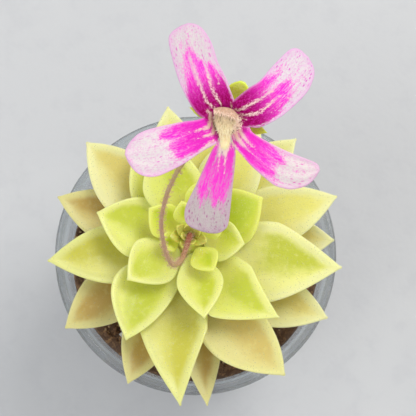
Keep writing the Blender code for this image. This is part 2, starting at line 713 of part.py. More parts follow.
def make_stigma():
    peach = paint("stigma", (0.78, 0.56, 0.44), 0.6)
    upper, lower = spread(STIGMA_UPPER, 7), spread(STIGMA_LOWER, 7)
    front, back = [], []
    for share in np.linspace(0, 1, 5):
        rows = ([], [])
        for high, low in zip(upper, lower):
            x, y = high * (1 - share) + low * share
            base = limb_forward(high[0], high[1], 0.0, 0.0, 0.0) + GAP + 0.1
            forward = base + (0.7 - base) * math.sin(0.5 * math.pi * share)
            rows[0].append(flower(x, y, forward + 0.6))
            rows[1].append(flower(x, y, forward))
        front.append(rows[0])
        back.append(rows[1])
    return add("stigma", *slab(front[::-1], back[::-1]), peach)


make_pot()
make_mix()
make_crown()
make_leaves()
make_scape()
make_corolla()
make_calyx()
make_palate()
make_stigma()
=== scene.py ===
import math

import bmesh
import bpy
import numpy as np
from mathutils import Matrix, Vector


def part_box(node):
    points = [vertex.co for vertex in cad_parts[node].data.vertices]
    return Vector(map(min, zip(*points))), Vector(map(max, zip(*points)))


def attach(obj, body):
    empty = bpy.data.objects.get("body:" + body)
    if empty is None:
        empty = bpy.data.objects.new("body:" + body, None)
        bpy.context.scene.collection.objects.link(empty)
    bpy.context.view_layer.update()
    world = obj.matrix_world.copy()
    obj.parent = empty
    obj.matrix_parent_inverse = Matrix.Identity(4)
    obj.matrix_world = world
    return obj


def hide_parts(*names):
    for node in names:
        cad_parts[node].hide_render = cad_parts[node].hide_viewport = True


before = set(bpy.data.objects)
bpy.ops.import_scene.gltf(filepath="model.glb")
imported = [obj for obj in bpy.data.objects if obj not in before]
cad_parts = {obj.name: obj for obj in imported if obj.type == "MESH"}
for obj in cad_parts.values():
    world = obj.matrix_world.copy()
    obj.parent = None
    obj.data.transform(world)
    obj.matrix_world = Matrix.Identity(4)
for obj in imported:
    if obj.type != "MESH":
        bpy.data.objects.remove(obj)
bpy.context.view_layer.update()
mm = 0.001  # every size below is in millimetres, and mm takes it to metres
print("Frame loaded with", len(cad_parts), "nodes")


# Shapes: points in millimetres, faces as arrays of point numbers

def outward(points, quads, tris):
    # A closed body whose faces look in is turned inside out
    corners = np.concatenate([quads[:, [0, 1, 2]], quads[:, [0, 2, 3]], tris])
    a, b, c = (points[corners[:, k]] for k in range(3))
    if np.einsum("ij,ij->i", a, np.cross(b, c)).sum() < 0:
        return quads[:, ::-1], tris[:, ::-1]
    return quads, tris


def makeMesh(name, shape, maps=None, sharp=None, weld=False):
    points, quads, tris = shape
    quads, tris = outward(points, quads, tris)
    corners = np.concatenate([quads.ravel(), tris.ravel()]).astype(np.int32)
    starts = np.concatenate([4 * np.arange(len(quads)), 4 * len(quads) + 3 * np.arange(len(tris))])
    mesh = bpy.data.meshes.new(name)
    mesh.vertices.add(len(points))
    mesh.vertices.foreach_set("co", (np.asarray(points) * mm).astype(np.float32).ravel())
    mesh.loops.add(len(corners))
    mesh.loops.foreach_set("vertex_index", corners)
    mesh.polygons.add(len(starts))
    mesh.polygons.foreach_set("loop_start", starts.astype(np.int32))
    mesh.update(calc_edges=True)
    for label, values in (maps or {}).items():
        layer = mesh.uv_layers.new(name=label)
        layer.data.foreach_set("uv", np.asarray(values, np.float32)[corners].ravel())
    if weld:
        work = bmesh.new()
        work.from_mesh(mesh)
        bmesh.ops.remove_doubles(work, verts=work.verts, dist=0.002 * mm)
        bmesh.ops.dissolve_degenerate(work, edges=work.edges, dist=0.0005 * mm)
        work.to_mesh(mesh)
        work.free()
    mesh.shade_smooth()
    if sharp is not None:
        mesh.set_sharp_from_angle(angle=math.radians(sharp))
    return mesh


def addPiece(name, mesh, materials, replaced=()):
    for material in materials:
        mesh.materials.append(material)
    piece = bpy.data.objects.new(name, mesh)
    bpy.context.scene.collection.objects.link(piece)
    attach(piece, "root")
    if replaced:
        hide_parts(*replaced)
    return piece


def addShape(name, shape, paint, slotName, node=None, **options):
    # A piece of one shape and one material, which replaces a node if one is named
    return addPiece(name, makeMesh(name, shape, **options), [paint], (node,) if node else ())


def loft(rings, maps=None, caps=(True, True)):
    # Quads between closed rings, and a fan over each end
    rows, count = rings.shape[:2]
    layers = {"points": rings, **(maps or {})}
    flat = {label: values.reshape(rows * count, -1) for label, values in layers.items()}
    start = np.arange(rows - 1)[:, None] * count
    a, b = start + np.arange(count), start + (np.arange(count) + 1) % count
    quads = np.stack([a, b, b + count, a + count], axis=-1).reshape(-1, 4)
    k = np.arange(count)
    tris = [np.empty((0, 3), int)]
    for end, wanted in enumerate(caps):
        if wanted:
            row = end * (rows - 1)
            middle = np.full(count, len(flat["points"]))
            fan = np.stack([row * count + (k + 1) % count, row * count + k, middle], axis=1)
            tris.append(fan if end == 0 else fan[:, ::-1])
            for label, values in layers.items():
                flat[label] = np.vstack([flat[label], values[row].mean(axis=0)])
    shape = (flat.pop("points"), quads, np.concatenate(tris))
    return shape, flat


def gridFaces(rows, cols):
    a = np.arange(rows - 1)[:, None] * cols + np.arange(cols - 1)
    return np.stack([a, a + 1, a + cols + 1, a + cols], axis=-1).reshape(-1, 4)


def merged(shapes):
    # Several shapes as one, with their points numbered on
    points, quads, tris, count = [], [], [], 0
    for p, q, t in shapes:
        points.append(p)
        quads.append(q + count)
        tris.append(t + count)
        count += len(p)
    return np.concatenate(points), np.concatenate(quads), np.concatenate(tris)


def closeSection(low, high, fullness):
    # Rings round a blade: fullness falls to nothing at its margins, which rounds them
    middle = (high + low) / 2
    half = (high - low) / 2 * fullness[..., None]
    return np.concatenate([middle + half, (middle - half)[:, -2:0:-1]], axis=1)


def gridShares(along, across):
    # Shares along a blade and across it, both 0 to 1, as a map
    return np.stack([along, (across + 1) / 2], axis=-1)


def ringValues(values):
    # A blade's values, repeated for the under side of its rings
    return np.concatenate([values, values[:, -2:0:-1]], axis=1)


def roundedEdge(distance, radius):
    return np.sqrt(np.maximum(0.0, 1.0 - (1.0 - np.minimum(1.0, distance / radius)) ** 2))


def smoothLine(points, count):
    # Points spread evenly along a smooth curve through the given ones
    pts = np.array(points, float)
    ends = np.vstack([2 * pts[0] - pts[1], pts, 2 * pts[-1] - pts[-2]])
    dense = []
    for i in range(1, len(ends) - 2):
        p0, p1, p2, p3 = ends[i - 1 : i + 3]
        for t in np.linspace(0, 1, 24, endpoint=False):
            dense.append(0.5 * (2 * p1 + (p2 - p0) * t + (2 * p0 - 5 * p1 + 4 * p2 - p3) * t**2
                                + (3 * p1 - p0 - 3 * p2 + p3) * t**3))
    dense = np.array(dense + [pts[-1]])
    run = np.concatenate([[0.0], np.cumsum(np.linalg.norm(np.diff(dense, axis=0), axis=1))])
    at = np.linspace(0, run[-1], count)
    return np.stack([np.interp(at, run, dense[:, k]) for k in range(dense.shape[1])], axis=1)


def unit(vectors):
    return vectors / np.maximum(1e-9, np.linalg.norm(vectors, axis=-1, keepdims=True))


def pipeFrames(centres):
    # Along, side and up at every point of a line, without twist
    along = unit(np.gradient(centres, axis=0))
    side = np.array([1.0, 0.0, 0.0])
    sides = []
    for direction in along:
        side = unit(side - direction * side.dot(direction))
        sides.append(side)
    sides = np.array(sides)
    return along, sides, np.cross(along, sides)


def turnsRound(count):
    return np.linspace(0, math.tau, count, endpoint=False)


def pipeRings(centres, radii, count):
    _, side, up = pipeFrames(centres)
    turn = turnsRound(count)
    ring = side[:, None] * np.cos(turn)[:, None] + up[:, None] * np.sin(turn)[:, None]
    radii = np.broadcast_to(np.asarray(radii), (len(centres),))
    return centres[:, None] + ring * radii[:, None, None]


def framesFor(normals, spin):
    # A side, a forward and the normal for every place
    normals = unit(normals)
    steep = np.abs(normals[:, 2:3]) < 0.9
    helper = np.where(steep, [[0.0, 0.0, 1.0]], [[1.0, 0.0, 0.0]])
    side = unit(np.cross(helper, normals))
    forward = np.cross(normals, side)
    c, s = np.cos(spin)[:, None], np.sin(spin)[:, None]
    return np.stack([side * c + forward * s, forward * c - side * s, normals], axis=-1)


def copies(shape, places, frames, sizes):
    # One shape set down many times, each with its own size
    points, quads, tris = shape
    local = points[None] * sizes[:, None, :]
    world = places[:, None] + np.einsum("nij,nkj->nki", frames, local)
    step = len(points) * np.arange(len(places))[:, None, None]
    return world.reshape(-1, 3), (quads[None] + step).reshape(-1, 4), (tris[None] + step).reshape(-1, 3)


def lathe(profile, count, at=(0.0, 0.0)):
    # (radius, height) pairs turned round an upright axis
    turn = turnsRound(count)
    profile = np.asarray(profile, float)
    rings = np.empty((len(profile), count, 3))
    rings[..., 0] = at[0] + profile[:, :1] * np.cos(turn)
    rings[..., 1] = at[1] + profile[:, :1] * np.sin(turn)
    rings[..., 2] = profile[:, 1:]
    return rings


def easedCorners(profile, setback, steps=4):
    # Each inner corner of a profile becomes a short curve
    pts = np.asarray(profile, float)
    eased = [pts[0]]
    for before, corner, after in zip(pts, pts[1:], pts[2:]):
        back, ahead = before - corner, after - corner
        reach = [min(setback, 0.45 * np.linalg.norm(v)) / np.linalg.norm(v) for v in (back, ahead)]
        first, last = corner + back * reach[0], corner + ahead * reach[1]
        for t in np.linspace(0, 1, steps):
            eased.append(first * (1 - t) ** 2 + corner * 2 * t * (1 - t) + last * t**2)
    eased.append(pts[-1])
    return np.array(eased)


def heading(azimuth):
    # The level directions outwards and to the left, at an azimuth in degrees
    a = math.radians(azimuth)
    return np.array([math.cos(a), math.sin(a), 0.0]), np.array([-math.sin(a), math.cos(a), 0.0])


def bladeGrid(rows, cols):
    # Shares along a blade, 0 to 1, and across it, -1 to 1, with its margins finely divided
    across = np.sin(0.5 * math.pi * np.linspace(-1, 1, cols))
    return np.broadcast_arrays(np.linspace(0, 1, rows)[:, None], across)


def addCopies(name, shape, places, normals, sizes, chance, paint, slotName, maps=None):
    # A piece of many small shapes that stand along their normals, each turned by chance
    frames = framesFor(normals, chance.uniform(0, math.tau, len(places)))
    addShape(name, copies(shape, places, frames, sizes), paint, slotName, maps=maps)


# Shading helpers: a Wire is a value in a node tree, and sums with it add Math nodes

class Wire:
    def __init__(self, socket):
        self.socket, self.tree = socket, socket.id_data

    def __add__(self, other):
        return calc("ADD", self, other)

    def __sub__(self, other):
        return calc("SUBTRACT", self, other)

    def __rsub__(self, other):
        return calc("SUBTRACT", other, self)

    def __mul__(self, other):
        return calc("MULTIPLY", self, other)

    def __rmul__(self, other):
        return calc("MULTIPLY", other, self)

    def __truediv__(self, other):
        return calc("DIVIDE", self, other)

    def __rtruediv__(self, other):
        return calc("DIVIDE", other, self)


def tone(red, green, blue):
    # A colour as it looks on screen, 0 to 255
    channels = [c / 255 for c in (red, green, blue)]
    return (*[c / 12.92 if c <= 0.04045 else ((c + 0.055) / 1.055) ** 2.4 for c in channels], 1.0)


def labelled(labels, row):
    # A row of values by their labels, its screen colours made into tones
    return {label: tone(*value) if isinstance(value, tuple) else value for label, value in zip(labels, row)}


def fill(node, values):
    # A node's inputs: wires are linked there and plain values set
    for key, value in values.items():
        if isinstance(value, Wire):
            value.tree.links.new(value.socket, node.inputs[key])
        else:
            node.inputs[key].default_value = value
    return node


def addNode(tree, kind, values, **settings):
    made = tree.nodes.new("ShaderNode" + kind)
    for key, value in settings.items():
        setattr(made, key, value)
    return fill(made, values)


def through(tree, kind, values=None, out=0, **settings):
    # What comes out of a new node
    return Wire(addNode(tree, kind, values or {}, **settings).outputs[out])


def calc(operation, *values, clamp=False):
    tree = next(value.tree for value in values if isinstance(value, Wire))
    return through(tree, "Math", dict(enumerate(values)), operation=operation, use_clamp=clamp)


def fade(value, low, high, start=0.0, end=1.0):
    # Smoothly from start, where the value is low, to end, where it is high
    spans = {"Value": value, "From Min": low, "From Max": high, "To Min": start, "To Max": end}
    return through(value.tree, "MapRange", spans, "Result", interpolation_type="SMOOTHSTEP")


def blendTones(share, first, second):
    # A Mix node's colours go in at 6 and 7 and come out at 2
    return through(share.tree, "Mix", {0: share, 6: first, 7: second}, 2, data_type="RGBA")


def uvParts(tree, label):
    split = addNode(tree, "SeparateXYZ", {0: through(tree, "UVMap", uv_map=label)})
    return Wire(split.outputs[0]), Wire(split.outputs[1])


def placeInMm(tree):
    place = through(tree, "TexCoord", out="Object")
    return through(tree, "VectorMath", {0: place, "Scale": 1 / mm}, operation="SCALE")


def combined(x, y, z=0.0):
    return through(x.tree, "CombineXYZ", {0: x, 1: y, 2: z})


def cloud(place, scale, detail=2.0, roughness=0.5):
    values = {"Vector": place, "Scale": scale, "Detail": detail, "Roughness": roughness}
    return through(place.tree, "TexNoise", values)


def spots(place, scale):
    # How far each place is from the nearest of many scattered spots
    return through(place.tree, "TexVoronoi", {"Vector": place, "Scale": scale}, "Distance")


def newGroup(name, inputs):
    # A shared effect that gives out a colour, a roughness and a height
    tree = bpy.data.node_groups.new(name, "ShaderNodeTree")
    for label, value in inputs.items():
        kind = "NodeSocketColor" if isinstance(value, tuple) else "NodeSocketFloat"
        tree.interface.new_socket(name=label, in_out="INPUT", socket_type=kind).default_value = value
    for label in ("Color", "Roughness", "Height"):
        kind = "NodeSocketColor" if label == "Color" else "NodeSocketFloat"
        tree.interface.new_socket(name=label, in_out="OUTPUT", socket_type=kind)
    return tree, {socket.name: Wire(socket) for socket in tree.nodes.new("NodeGroupInput").outputs}


def giveOut(tree, color, roughness, height):
    values = {"Color": color, "Roughness": roughness, "Height": height}
    fill(tree.nodes.new("NodeGroupOutput"), values)
    return tree


def newMaterial(name, fixed):
    material = bpy.data.materials.new(name)
    material.use_nodes = True
    return material, material.node_tree, fill(material.node_tree.nodes["Principled BSDF"], fixed)


def flesh(weight, depth):
    # Light that sinks into a plant, to a depth in millimetres
    return {"Subsurface Weight": weight, "Subsurface Scale": depth * mm}


def paintWith(name, group, values, fixed, strength, depth):
    # A material whose colour, roughness and bump come from one group: the bump's strength and depth in mm
    material, tree, shader = newMaterial(name, fixed)
    paint = addNode(tree, "Group", values, node_tree=group)
    color, roughness, height = (Wire(paint.outputs[label]) for label in ("Color", "Roughness", "Height"))
    bump = {"Height": height, "Strength": strength, "Distance": depth * mm}
    fill(shader, {"Base Color": color, "Roughness": roughness, "Normal": through(tree, "Bump", bump)})
    return material


def makeGrainGroup():
    # Uneven colour and a fine grain, on anything matt
    inputs = labelled(grainLabels, ((128, 128, 128), (160, 160, 160), (90, 90, 90), 1.0, 0.6, 0.6))
    tree, given = newGroup("fine grain", inputs)
    place = placeInMm(tree)
    broad = cloud(place, 1.0 / given["Size"], 3.0, 0.6)
    fine = cloud(place, 4.0 / given["Size"], 3.0, 0.7)
    color = blendTones(fade(broad, 0.48, 0.72) * given["Contrast"], given["Tone"], given["Light"])
    color = blendTones(fade(fine, 0.52, 0.32) * given["Contrast"], color, given["Dark"])
    rough = calc("ADD", given["Base Roughness"], calc("MULTIPLY_ADD", fine, 0.3, -0.15), clamp=True)
    return giveOut(tree, color, rough, broad + fine * 0.5)


grainLabels = ("Tone", "Light", "Dark", "Size", "Contrast", "Base Roughness")
grainGroup = makeGrainGroup()


def grainPaint(name, look, fixed=None):
    # A look is three tones, grain size in mm, contrast, roughness and strength of the bump
    return paintWith(name, grainGroup, labelled(grainLabels, look), fixed or {}, look[6], look[3] * 0.2)


def mixShaders(material, share, first, second):
    mixed = through(material.node_tree, "MixShader", {0: share, 1: first, 2: second})
    fill(material.node_tree.nodes["Material Output"], {0: mixed})
    return material


def clearPaint(name, tint, roughness, ior, uneven, clearness, passing):
    # Clear stuff: passing is the least share of light that goes straight through
    material, tree, shader = newMaterial(name, {"Transmission Weight": clearness, "IOR": ior})
    patches = cloud(placeInMm(tree), uneven)
    paler = tuple(0.5 + 0.5 * c for c in tint)
    fill(shader, {"Base Color": blendTones(patches, tint, paler),
                  "Roughness": fade(patches, 0.3, 0.8, roughness, roughness * 2.5)})
    film = through(tree, "BsdfTransparent", {0: paler})
    share = calc("MAXIMUM", through(tree, "LightPath", out="Is Shadow Ray"), passing)
    return mixShaders(material, share, Wire(shader.outputs[0]), film)


def letLightPast(material, passing, body=1.0):
    # Fine droplets and hairs: passing is how much lamp light goes by, body how solid they look
    tree = material.node_tree
    solid = body * (1.0 - through(tree, "LightPath", out="Is Shadow Ray") * passing)
    clear = through(tree, "BsdfTransparent", {0: tone(255, 255, 255)})
    return mixShaders(material, solid, clear, Wire(tree.nodes["Principled BSDF"].outputs[0]))


def dewPaint(name, tint, glint):
    # A droplet: milky face on, clear at its rim, with a sharp glint
    material, tree, shader = newMaterial(name, {"IOR": 1.36, "Coat Weight": 0.3, "Coat Roughness": 0.02})
    patches = cloud(placeInMm(tree), 2.0)
    fill(shader, {"Base Color": blendTones(patches, tint, glint),
                  "Roughness": fade(patches, 0.3, 0.7, 0.03, 0.1)})
    facing = through(tree, "LayerWeight", {"Blend": 0.4}, "Facing")
    return letLightPast(material, passing=1.0, body=fade(facing, 0.1, 0.5, 0.5, 0.0))


print("Helpers ready")


# Pot: thin clear plastic with a rolled rim

pot = {
    "height": 50.0,
    "rimRadius": 27.5,
    "rimDepth": 3.2,  # from the top down to where the rolled rim meets the wall
    "rimCurve": ((0.5, 2.0), (0.0, 1.5), (0.0, 0.6), (0.5, 0.1), (1.0, 0.0), (1.7, 0.2)),  # in and down
    "wallTopRadius": 26.0,
    "baseRadius": 20.6,
    "baseEdge": 0.6,
    "footRing": 2.2,  # width of the ring that it stands on
    "footHeight": 0.9,
    "wall": 0.9,
    "floor": 1.0,
    "rounding": 0.3,
    "sides": 132,
    "wallRows": (90, 24),  # outside and inside
    "drainHoles": 6,
    "drainRadius": 1.8,
    "drainCircle": 13.0,
    "drainSides": 36,
    "drainTurn": 0.54,  # how far the first hole stands from +X, in steps from hole to hole
    "ringHeights": (11.0, 12.6, 39.5),  # fine raised rings moulded into the wall
    "ringProud": 0.16,
    "ringHalf": 0.28,
    "plastic": (tone(232, 240, 245), 0.06, 1.46, 0.25, 0.9, 0.5),  # in the order that clearPaint takes
}


def potRadius(height):
    slope = (pot["wallTopRadius"] - pot["baseRadius"]) / (pot["height"] - pot["rimDepth"] - pot["baseEdge"])
    return pot["baseRadius"] + slope * (height - pot["baseEdge"])


def potProfile():
    top, rim, wall, base = pot["height"], pot["rimRadius"], pot["wallTopRadius"], pot["baseRadius"]
    ring, foot, edge, drop = base - pot["footRing"], pot["footHeight"], pot["baseEdge"], top - pot["rimDepth"]
    inner, floor = pot["wall"], pot["floor"] + 0.02
    points = [(0.0, foot), (ring - 0.4, foot), (ring, 0.0), (base - edge, 0.0), (base, edge)]
    for z in np.linspace(2.0, drop - 1.4, pot["wallRows"][0]):
        proud = sum(math.exp(-(((z - at) / pot["ringHalf"]) ** 2)) for at in pot["ringHeights"])
        points.append((potRadius(z) + pot["ringProud"] * proud, z))
    points += [(wall, drop)] + [(rim - inwards, top - down) for inwards, down in pot["rimCurve"]]
    points += [(wall - inner + 0.2, top - 1.0), (wall - inner, drop)]
    points += [(potRadius(z) - inner, z) for z in np.linspace(drop - 1.8, 3.0, pot["wallRows"][1])]
    points += [(base - inner, pot["floor"] + 0.6), (base - inner - 0.6, floor), (0.0, floor)]
    return easedCorners(points, pot["rounding"])


def makePot():
    shape = loft(lathe(potProfile(), pot["sides"]), caps=(False, False))[0]
    plastic = clearPaint("clear plastic", *pot["plastic"])
    body = addShape("ClearPot", shape, plastic, "pot", "pot", weld=True)
    drills = []
    for k in range(pot["drainHoles"]):
        turn = math.tau * (k + pot["drainTurn"]) / pot["drainHoles"]
        at = (pot["drainCircle"] * math.cos(turn), pot["drainCircle"] * math.sin(turn))
        bore = ((pot["drainRadius"], -1.0), (pot["drainRadius"], pot["floor"] + 1.0))
        drills.append(loft(lathe(bore, pot["drainSides"], at))[0])
    cutter = bpy.data.objects.new("drill", makeMesh("drill", merged(drills)))
    bpy.context.scene.collection.objects.link(cutter)
    holes = body.modifiers.new("Drain holes", "BOOLEAN")
    holes.object, holes.operation, holes.solver = cutter, "DIFFERENCE", "EXACT"
    bpy.context.view_layer.update()
    cutBody = bpy.data.meshes.new_from_object(body.evaluated_get(bpy.context.evaluated_depsgraph_get()))
    body.modifiers.clear()
    body.data = cutBody
    bpy.data.objects.remove(cutter, do_unlink=True)
    cutBody.shade_smooth()
    cutBody.set_sharp_from_angle(angle=math.radians(38))


makePot()
print("Pot made")


# Potting mix: brown peat with perlite, sand and coarser crumbs of peat

mix = {
    "level": 45.2,
    "bump": 0.35,
    "roughness": 0.22,
    "sides": 180,
    "wallRows": 90,
    "topRows": 56,
    "gap": 0.3,
    "shoulder": 1.2,  # how far its top curves down at the wall
    "peat": ((98, 70, 48), (170, 126, 82), (46, 33, 23), 0.9, 0.85, 0.85, 0.9),  # a look for grainPaint
    "grains": {  # how many lie on top, how many show through the wall, size, tones
        "Perlite": (110, 210, (0.9, 2.4), (206, 202, 190), (232, 229, 220), (150, 142, 126)),
        "Sand": (960, 2050, (0.3, 0.8), (168, 136, 98), (212, 184, 140), (104, 80, 56)),
        "Peat": (620, 1500, (0.5, 1.5), (112, 78, 50), (160, 114, 72), (58, 40, 26)),
    },
    "grainLook": (0.35, 0.7, 0.75, 0.6),  # fineness, contrast, roughness and bump, for each kind of grain
    "seed": 11,
}
crown = {
    "at": (-1.0, 1.7),
    "radius": 3.2,
    "foot": 36.5,
    "top": 61.4,
    "socket": 0.62,  # radius of the hole that the scape stands in
    "taper": (50.0, 1.85, 1.4),  # height where it starts, how much it takes off and how curved it is
    "look": ((214, 216, 96), (230, 228, 138), (190, 160, 88), 1.4, 0.6, 0.45, 0.3),
}
holeRadius = crown["radius"] + 0.5


def mixHeight(x, y):
    bumps = np.sin(0.83 * x + 0.6) * np.cos(0.71 * y - 0.4) + 0.7 * np.sin(1.37 * x - 1.13 * y + 1.9)
    return mix["level"] + mix["bump"] * bumps - 0.0006 * (x * x + y * y)


def crumbs(x, y, z):
    # Fine unevenness that is the same wherever it is asked for
    waves = np.sin(3.1 * x + 1.7 * z) * np.sin(2.7 * y - 2.2 * z) + 0.6 * np.sin(6.3 * x - 4.9 * y + 5.3 * z)
    return waves + 0.4 * np.sin(11.0 * x + 9.0 * y - 12.0 * z)


def makeMix():
    wallIn, floorUp, level = pot["wall"] + mix["gap"], pot["floor"] + mix["gap"], mix["level"]
    baseRadius = potRadius(pot["baseEdge"]) - wallIn
    inner = potRadius(level - 1.4) - wallIn
    side = [(baseRadius - 0.6, floorUp), (baseRadius, floorUp + 0.7)]
    side += [(potRadius(z) - wallIn, z) for z in np.linspace(floorUp + 1.4, level - 2.2, mix["wallRows"])]
    rings = [lathe([(0.01, floorUp)], mix["sides"]), lathe(side, mix["sides"])]
    turn = turnsRound(mix["sides"])
    for share in np.linspace(0, 1, mix["topRows"]):
        radius = inner + (holeRadius - inner) * share
        x = crown["at"][0] * share + radius * np.cos(turn)
        y = crown["at"][1] * share + radius * np.sin(turn)
        z = mixHeight(x, y) - mix["shoulder"] * (1 - min(1.0, share / 0.03)) ** 2
        rings.append(np.stack([x, y, z], axis=1)[None])
    bottom = crown["foot"] - mix["gap"]
    rings.append(lathe([(holeRadius, bottom), (0.01, bottom)], mix["sides"], crown["at"]))
    rings = np.concatenate(rings)
    x, y, z = rings[..., 0], rings[..., 1], rings[..., 2]
    rough = mix["roughness"] * crumbs(x, y, z)
    away = np.maximum(1e-6, np.hypot(x, y))
    row = np.arange(len(rings))[:, None]
    wall = (row > 2) & (row < len(side))
    inwards = np.where(wall, 1.0 - (mix["roughness"] * 1.1 - 0.5 * rough) / away, 1.0)
    rings[..., 0], rings[..., 1] = x * inwards, y * inwards
    rings[..., 2] += np.where((row > len(side) + 1) & (row < len(rings) - 3), rough, 0.0)
    paint = grainPaint("peat mix", mix["peat"])
    addShape("PottingMix", loft(rings)[0], paint, "potting_mix", "potting_mix")
    return inner


def grainShapes(count, sizes, chance):
    # Broken lumps: a low ball with its points pushed about
    work = bmesh.new()
    bmesh.ops.create_icosphere(work, subdivisions=1, radius=1.0)
    ball = np.array([v.co[:] for v in work.verts])
    tris = np.array([[v.index for v in f.verts] for f in work.faces])
    work.free()
    spin = chance.uniform(0, math.tau, count)
    lean = unit(chance.normal(size=(count, 3)))
    size = chance.uniform(*sizes, count)[:, None] * 0.5 * chance.uniform(0.7, 1.15, (count, 3))
    lumps = ball[None] * (1 + 0.28 * chance.uniform(-1, 1, (count, len(ball), 1)))
    turned = np.einsum("nij,nkj->nki", framesFor(lean, spin), lumps * size[:, None])
    step = len(ball) * np.arange(count)[:, None, None]
    return turned, (tris[None] + step).reshape(-1, 3), size.max(axis=1)


def makeGrains(inner):
    chance = np.random.default_rng(mix["seed"])
    for name, (topCount, sideCount, sizes, *tones) in mix["grains"].items():
        count = topCount + sideCount
        lumps, tris, size = grainShapes(count, sizes, chance)
        away = holeRadius + 0.6 + (inner - holeRadius - 1.6) * np.sqrt(chance.uniform(0, 1, topCount))
        turn = chance.uniform(0, math.tau, count)
        x, y = away * np.cos(turn[:topCount]), away * np.sin(turn[:topCount])
        x, y = x + 0.5 * crown["at"][0], y + 0.5 * crown["at"][1]
        top = np.stack([x, y, mixHeight(x, y) + 0.25 * size[:topCount]], axis=1)
        z = chance.uniform(pot["floor"] + 2.0, mix["level"] - 2.4, sideCount)
        reach = potRadius(z) - pot["wall"] - 0.12 - size[topCount:] * 1.05
        side = np.stack([reach * np.cos(turn[topCount:]), reach * np.sin(turn[topCount:]), z], axis=1)
        points = (lumps + np.concatenate([top, side])[:, None]).reshape(-1, 3)
        shape = (points, np.empty((0, 4), int), tris)
        paint = grainPaint(name.lower() + " grain", (*tones, *mix["grainLook"]))
        addShape(name + "Grains", shape, paint, "potting_mix", sharp=28)


makeGrains(makeMix())
print("Potting mix made")


# Leaves: thick, boat-shaped, with pale rolled margins and a film of tiny glands

leafForm = {
    "edgeThick": 0.66,
    "rounding": 0.36,
    "widest": 0.5,
    "baseShare": 0.2,
    "along": 46,
    "across": 29,
    "footSlope": (7.0, 0.75, 2.0),  # degrees: the oldest leaf's, what each next adds, and in the heart
    "tipDrop": (8.0, 0.25, 1.5),  # degrees lost towards the tip: the oldest leaf's, less for each next, least
    "thick": (0.5, 0.035),  # and how much more for each millimetre of width
    "trough": (0.2, 0.24),  # depth as a share of the half width, in outer and inner leaves
    "bead": 0.11,  # how far the margin stands up
    "beadIn": 0.8,
    "beadHalf": 0.5,
    "groove": 0.08,
    "grooveHalf": 0.55,
    "ripple": 0.05,
}
rosette = (  # oldest first: azimuth, reach, width, sideways bend, fullness of the outer half
    (1, 28.0, 12.0, 0.4, 1.8), (276, 31.5, 8.8, 0.0, 1.6), (160, 27.6, 10.8, 0.3, 1.9),
    (215, 29.2, 11.4, -0.6, 2.1), (44, 29.0, 11.5, 0.5, 1.8), (332.8, 30.2, 11.6, -2.0, 2.1),
    (99, 27.7, 11.5, 0.3, 1.8), (247, 29.8, 10.4, -0.3, 2.2), (135.4, 28.1, 12.2, 0.6, 2.0),
    (188, 27.6, 11.6, 0.3, 1.65), (16.5, 29.4, 12.0, -0.2, 1.8), (307.5, 31.6, 12.6, -2.9, 2.3),
    (78, 26.5, 12.0, 0.2, 1.8), (350, 29.3, 15.6, -1.5, 1.35), (269.3, 32.0, 12.8, -2.2, 1.2),
    (56, 24.6, 12.0, 0.4, 1.8), (122, 20.5, 12.0, -0.4, 1.8), (242.8, 23.0, 11.6, -2.6, 2.0),
    (320.6, 22.9, 12.2, -2.4, 1.15), (164, 18.4, 11.8, 0.6, 1.7), (29, 15.8, 11.5, -0.3, 1.8),
    (105, 18.6, 11.5, 0.5, 1.8), (217, 14.6, 10.0, -0.3, 1.8), (279, 16.4, 8.8, 0.4, 1.7),
    (350, 10.6, 8.0, 0.2, 1.9), (66, 12.4, 8.5, -0.2, 1.9), (146, 9.4, 7.0, 0.2, 2.0),
    (302, 8.6, 5.6, 0.0, 2.0), (20, 7.4, 5.0, 0.1, 2.0), (104, 6.6, 4.4, 0.0, 2.0),
    (196, 6.0, 4.0, 0.1, 2.0),
)
# Numbers of the last old leaf, the last outer one and the last before the heart
oldLeaves, outerLeaves, heartLeaves = 8, 17, 20
# The channel tone is partly the leaf's own green and partly painted shade of its trough
leafTones = {  # blade, channel, margin and base, margin width, share of channel, of base and of specks
    "tan": ((208, 194, 122), (184, 154, 76), (216, 207, 144), (212, 190, 140), 2.1, 0.9, 0.5, 0.06),
    "blush": ((224, 214, 144), (206, 182, 100), (226, 219, 150), (224, 204, 150), 2.1, 0.8, 0.6, 0.03),
    "straw": ((230, 222, 152), (212, 194, 104), (231, 226, 166), (230, 214, 160), 2.3, 0.85, 0.5, 0.02),
    "olive": ((216, 214, 116), (196, 192, 64), (222, 222, 142), (228, 216, 146), 2.2, 0.9, 0.6, 0.02),
    "yellow": ((240, 232, 154), (224, 216, 106), (236, 232, 168), (246, 234, 168), 2.3, 0.8, 0.7, 0.02),
    "cream": ((240, 237, 148), (192, 198, 62), (236, 234, 166), (248, 240, 168), 2.7, 1.0, 0.95, 0.01),
    "green": ((226, 230, 118), (192, 202, 54), (231, 233, 146), (238, 228, 142), 2.0, 0.9, 0.75, 0.01),
    "bright": ((214, 224, 84), (184, 202, 44), (224, 229, 116), (232, 222, 122), 1.7, 0.8, 0.6, 0.01),
}
toneOfLeaf = {
    "tan": (2, 3, 4, 8),
    "blush": (12,),
    "straw": (1, 6, 9),
    "olive": (10, 15),
    "yellow": (5, 7, 11, 13, 16),
    "cream": (14,),
    "green": (17, 18, 19, 20, 22, 23, 24, 25),
    "bright": (21, 26, 27, 28, 29, 30, 31),
}
upright = np.array([0.0, 0.0, 1.0])


def crownRadius(height):
    start, loss, curve = crown["taper"]
    return crown["radius"] - loss * np.clip((height - start) / (crown["top"] - start), 0.0, 1.0) ** curve


def leafOutline(age, s):
    swell = np.sin(0.5 * math.pi * np.clip(s / leafForm["widest"], 0, 1))
    fall = 1.0 - np.clip((s - leafForm["widest"]) / (1 - leafForm["widest"]), 0, 1) ** rosette[age][4]
    return np.maximum((leafForm["baseShare"] + (1 - leafForm["baseShare"]) * swell) * fall, 0.03)


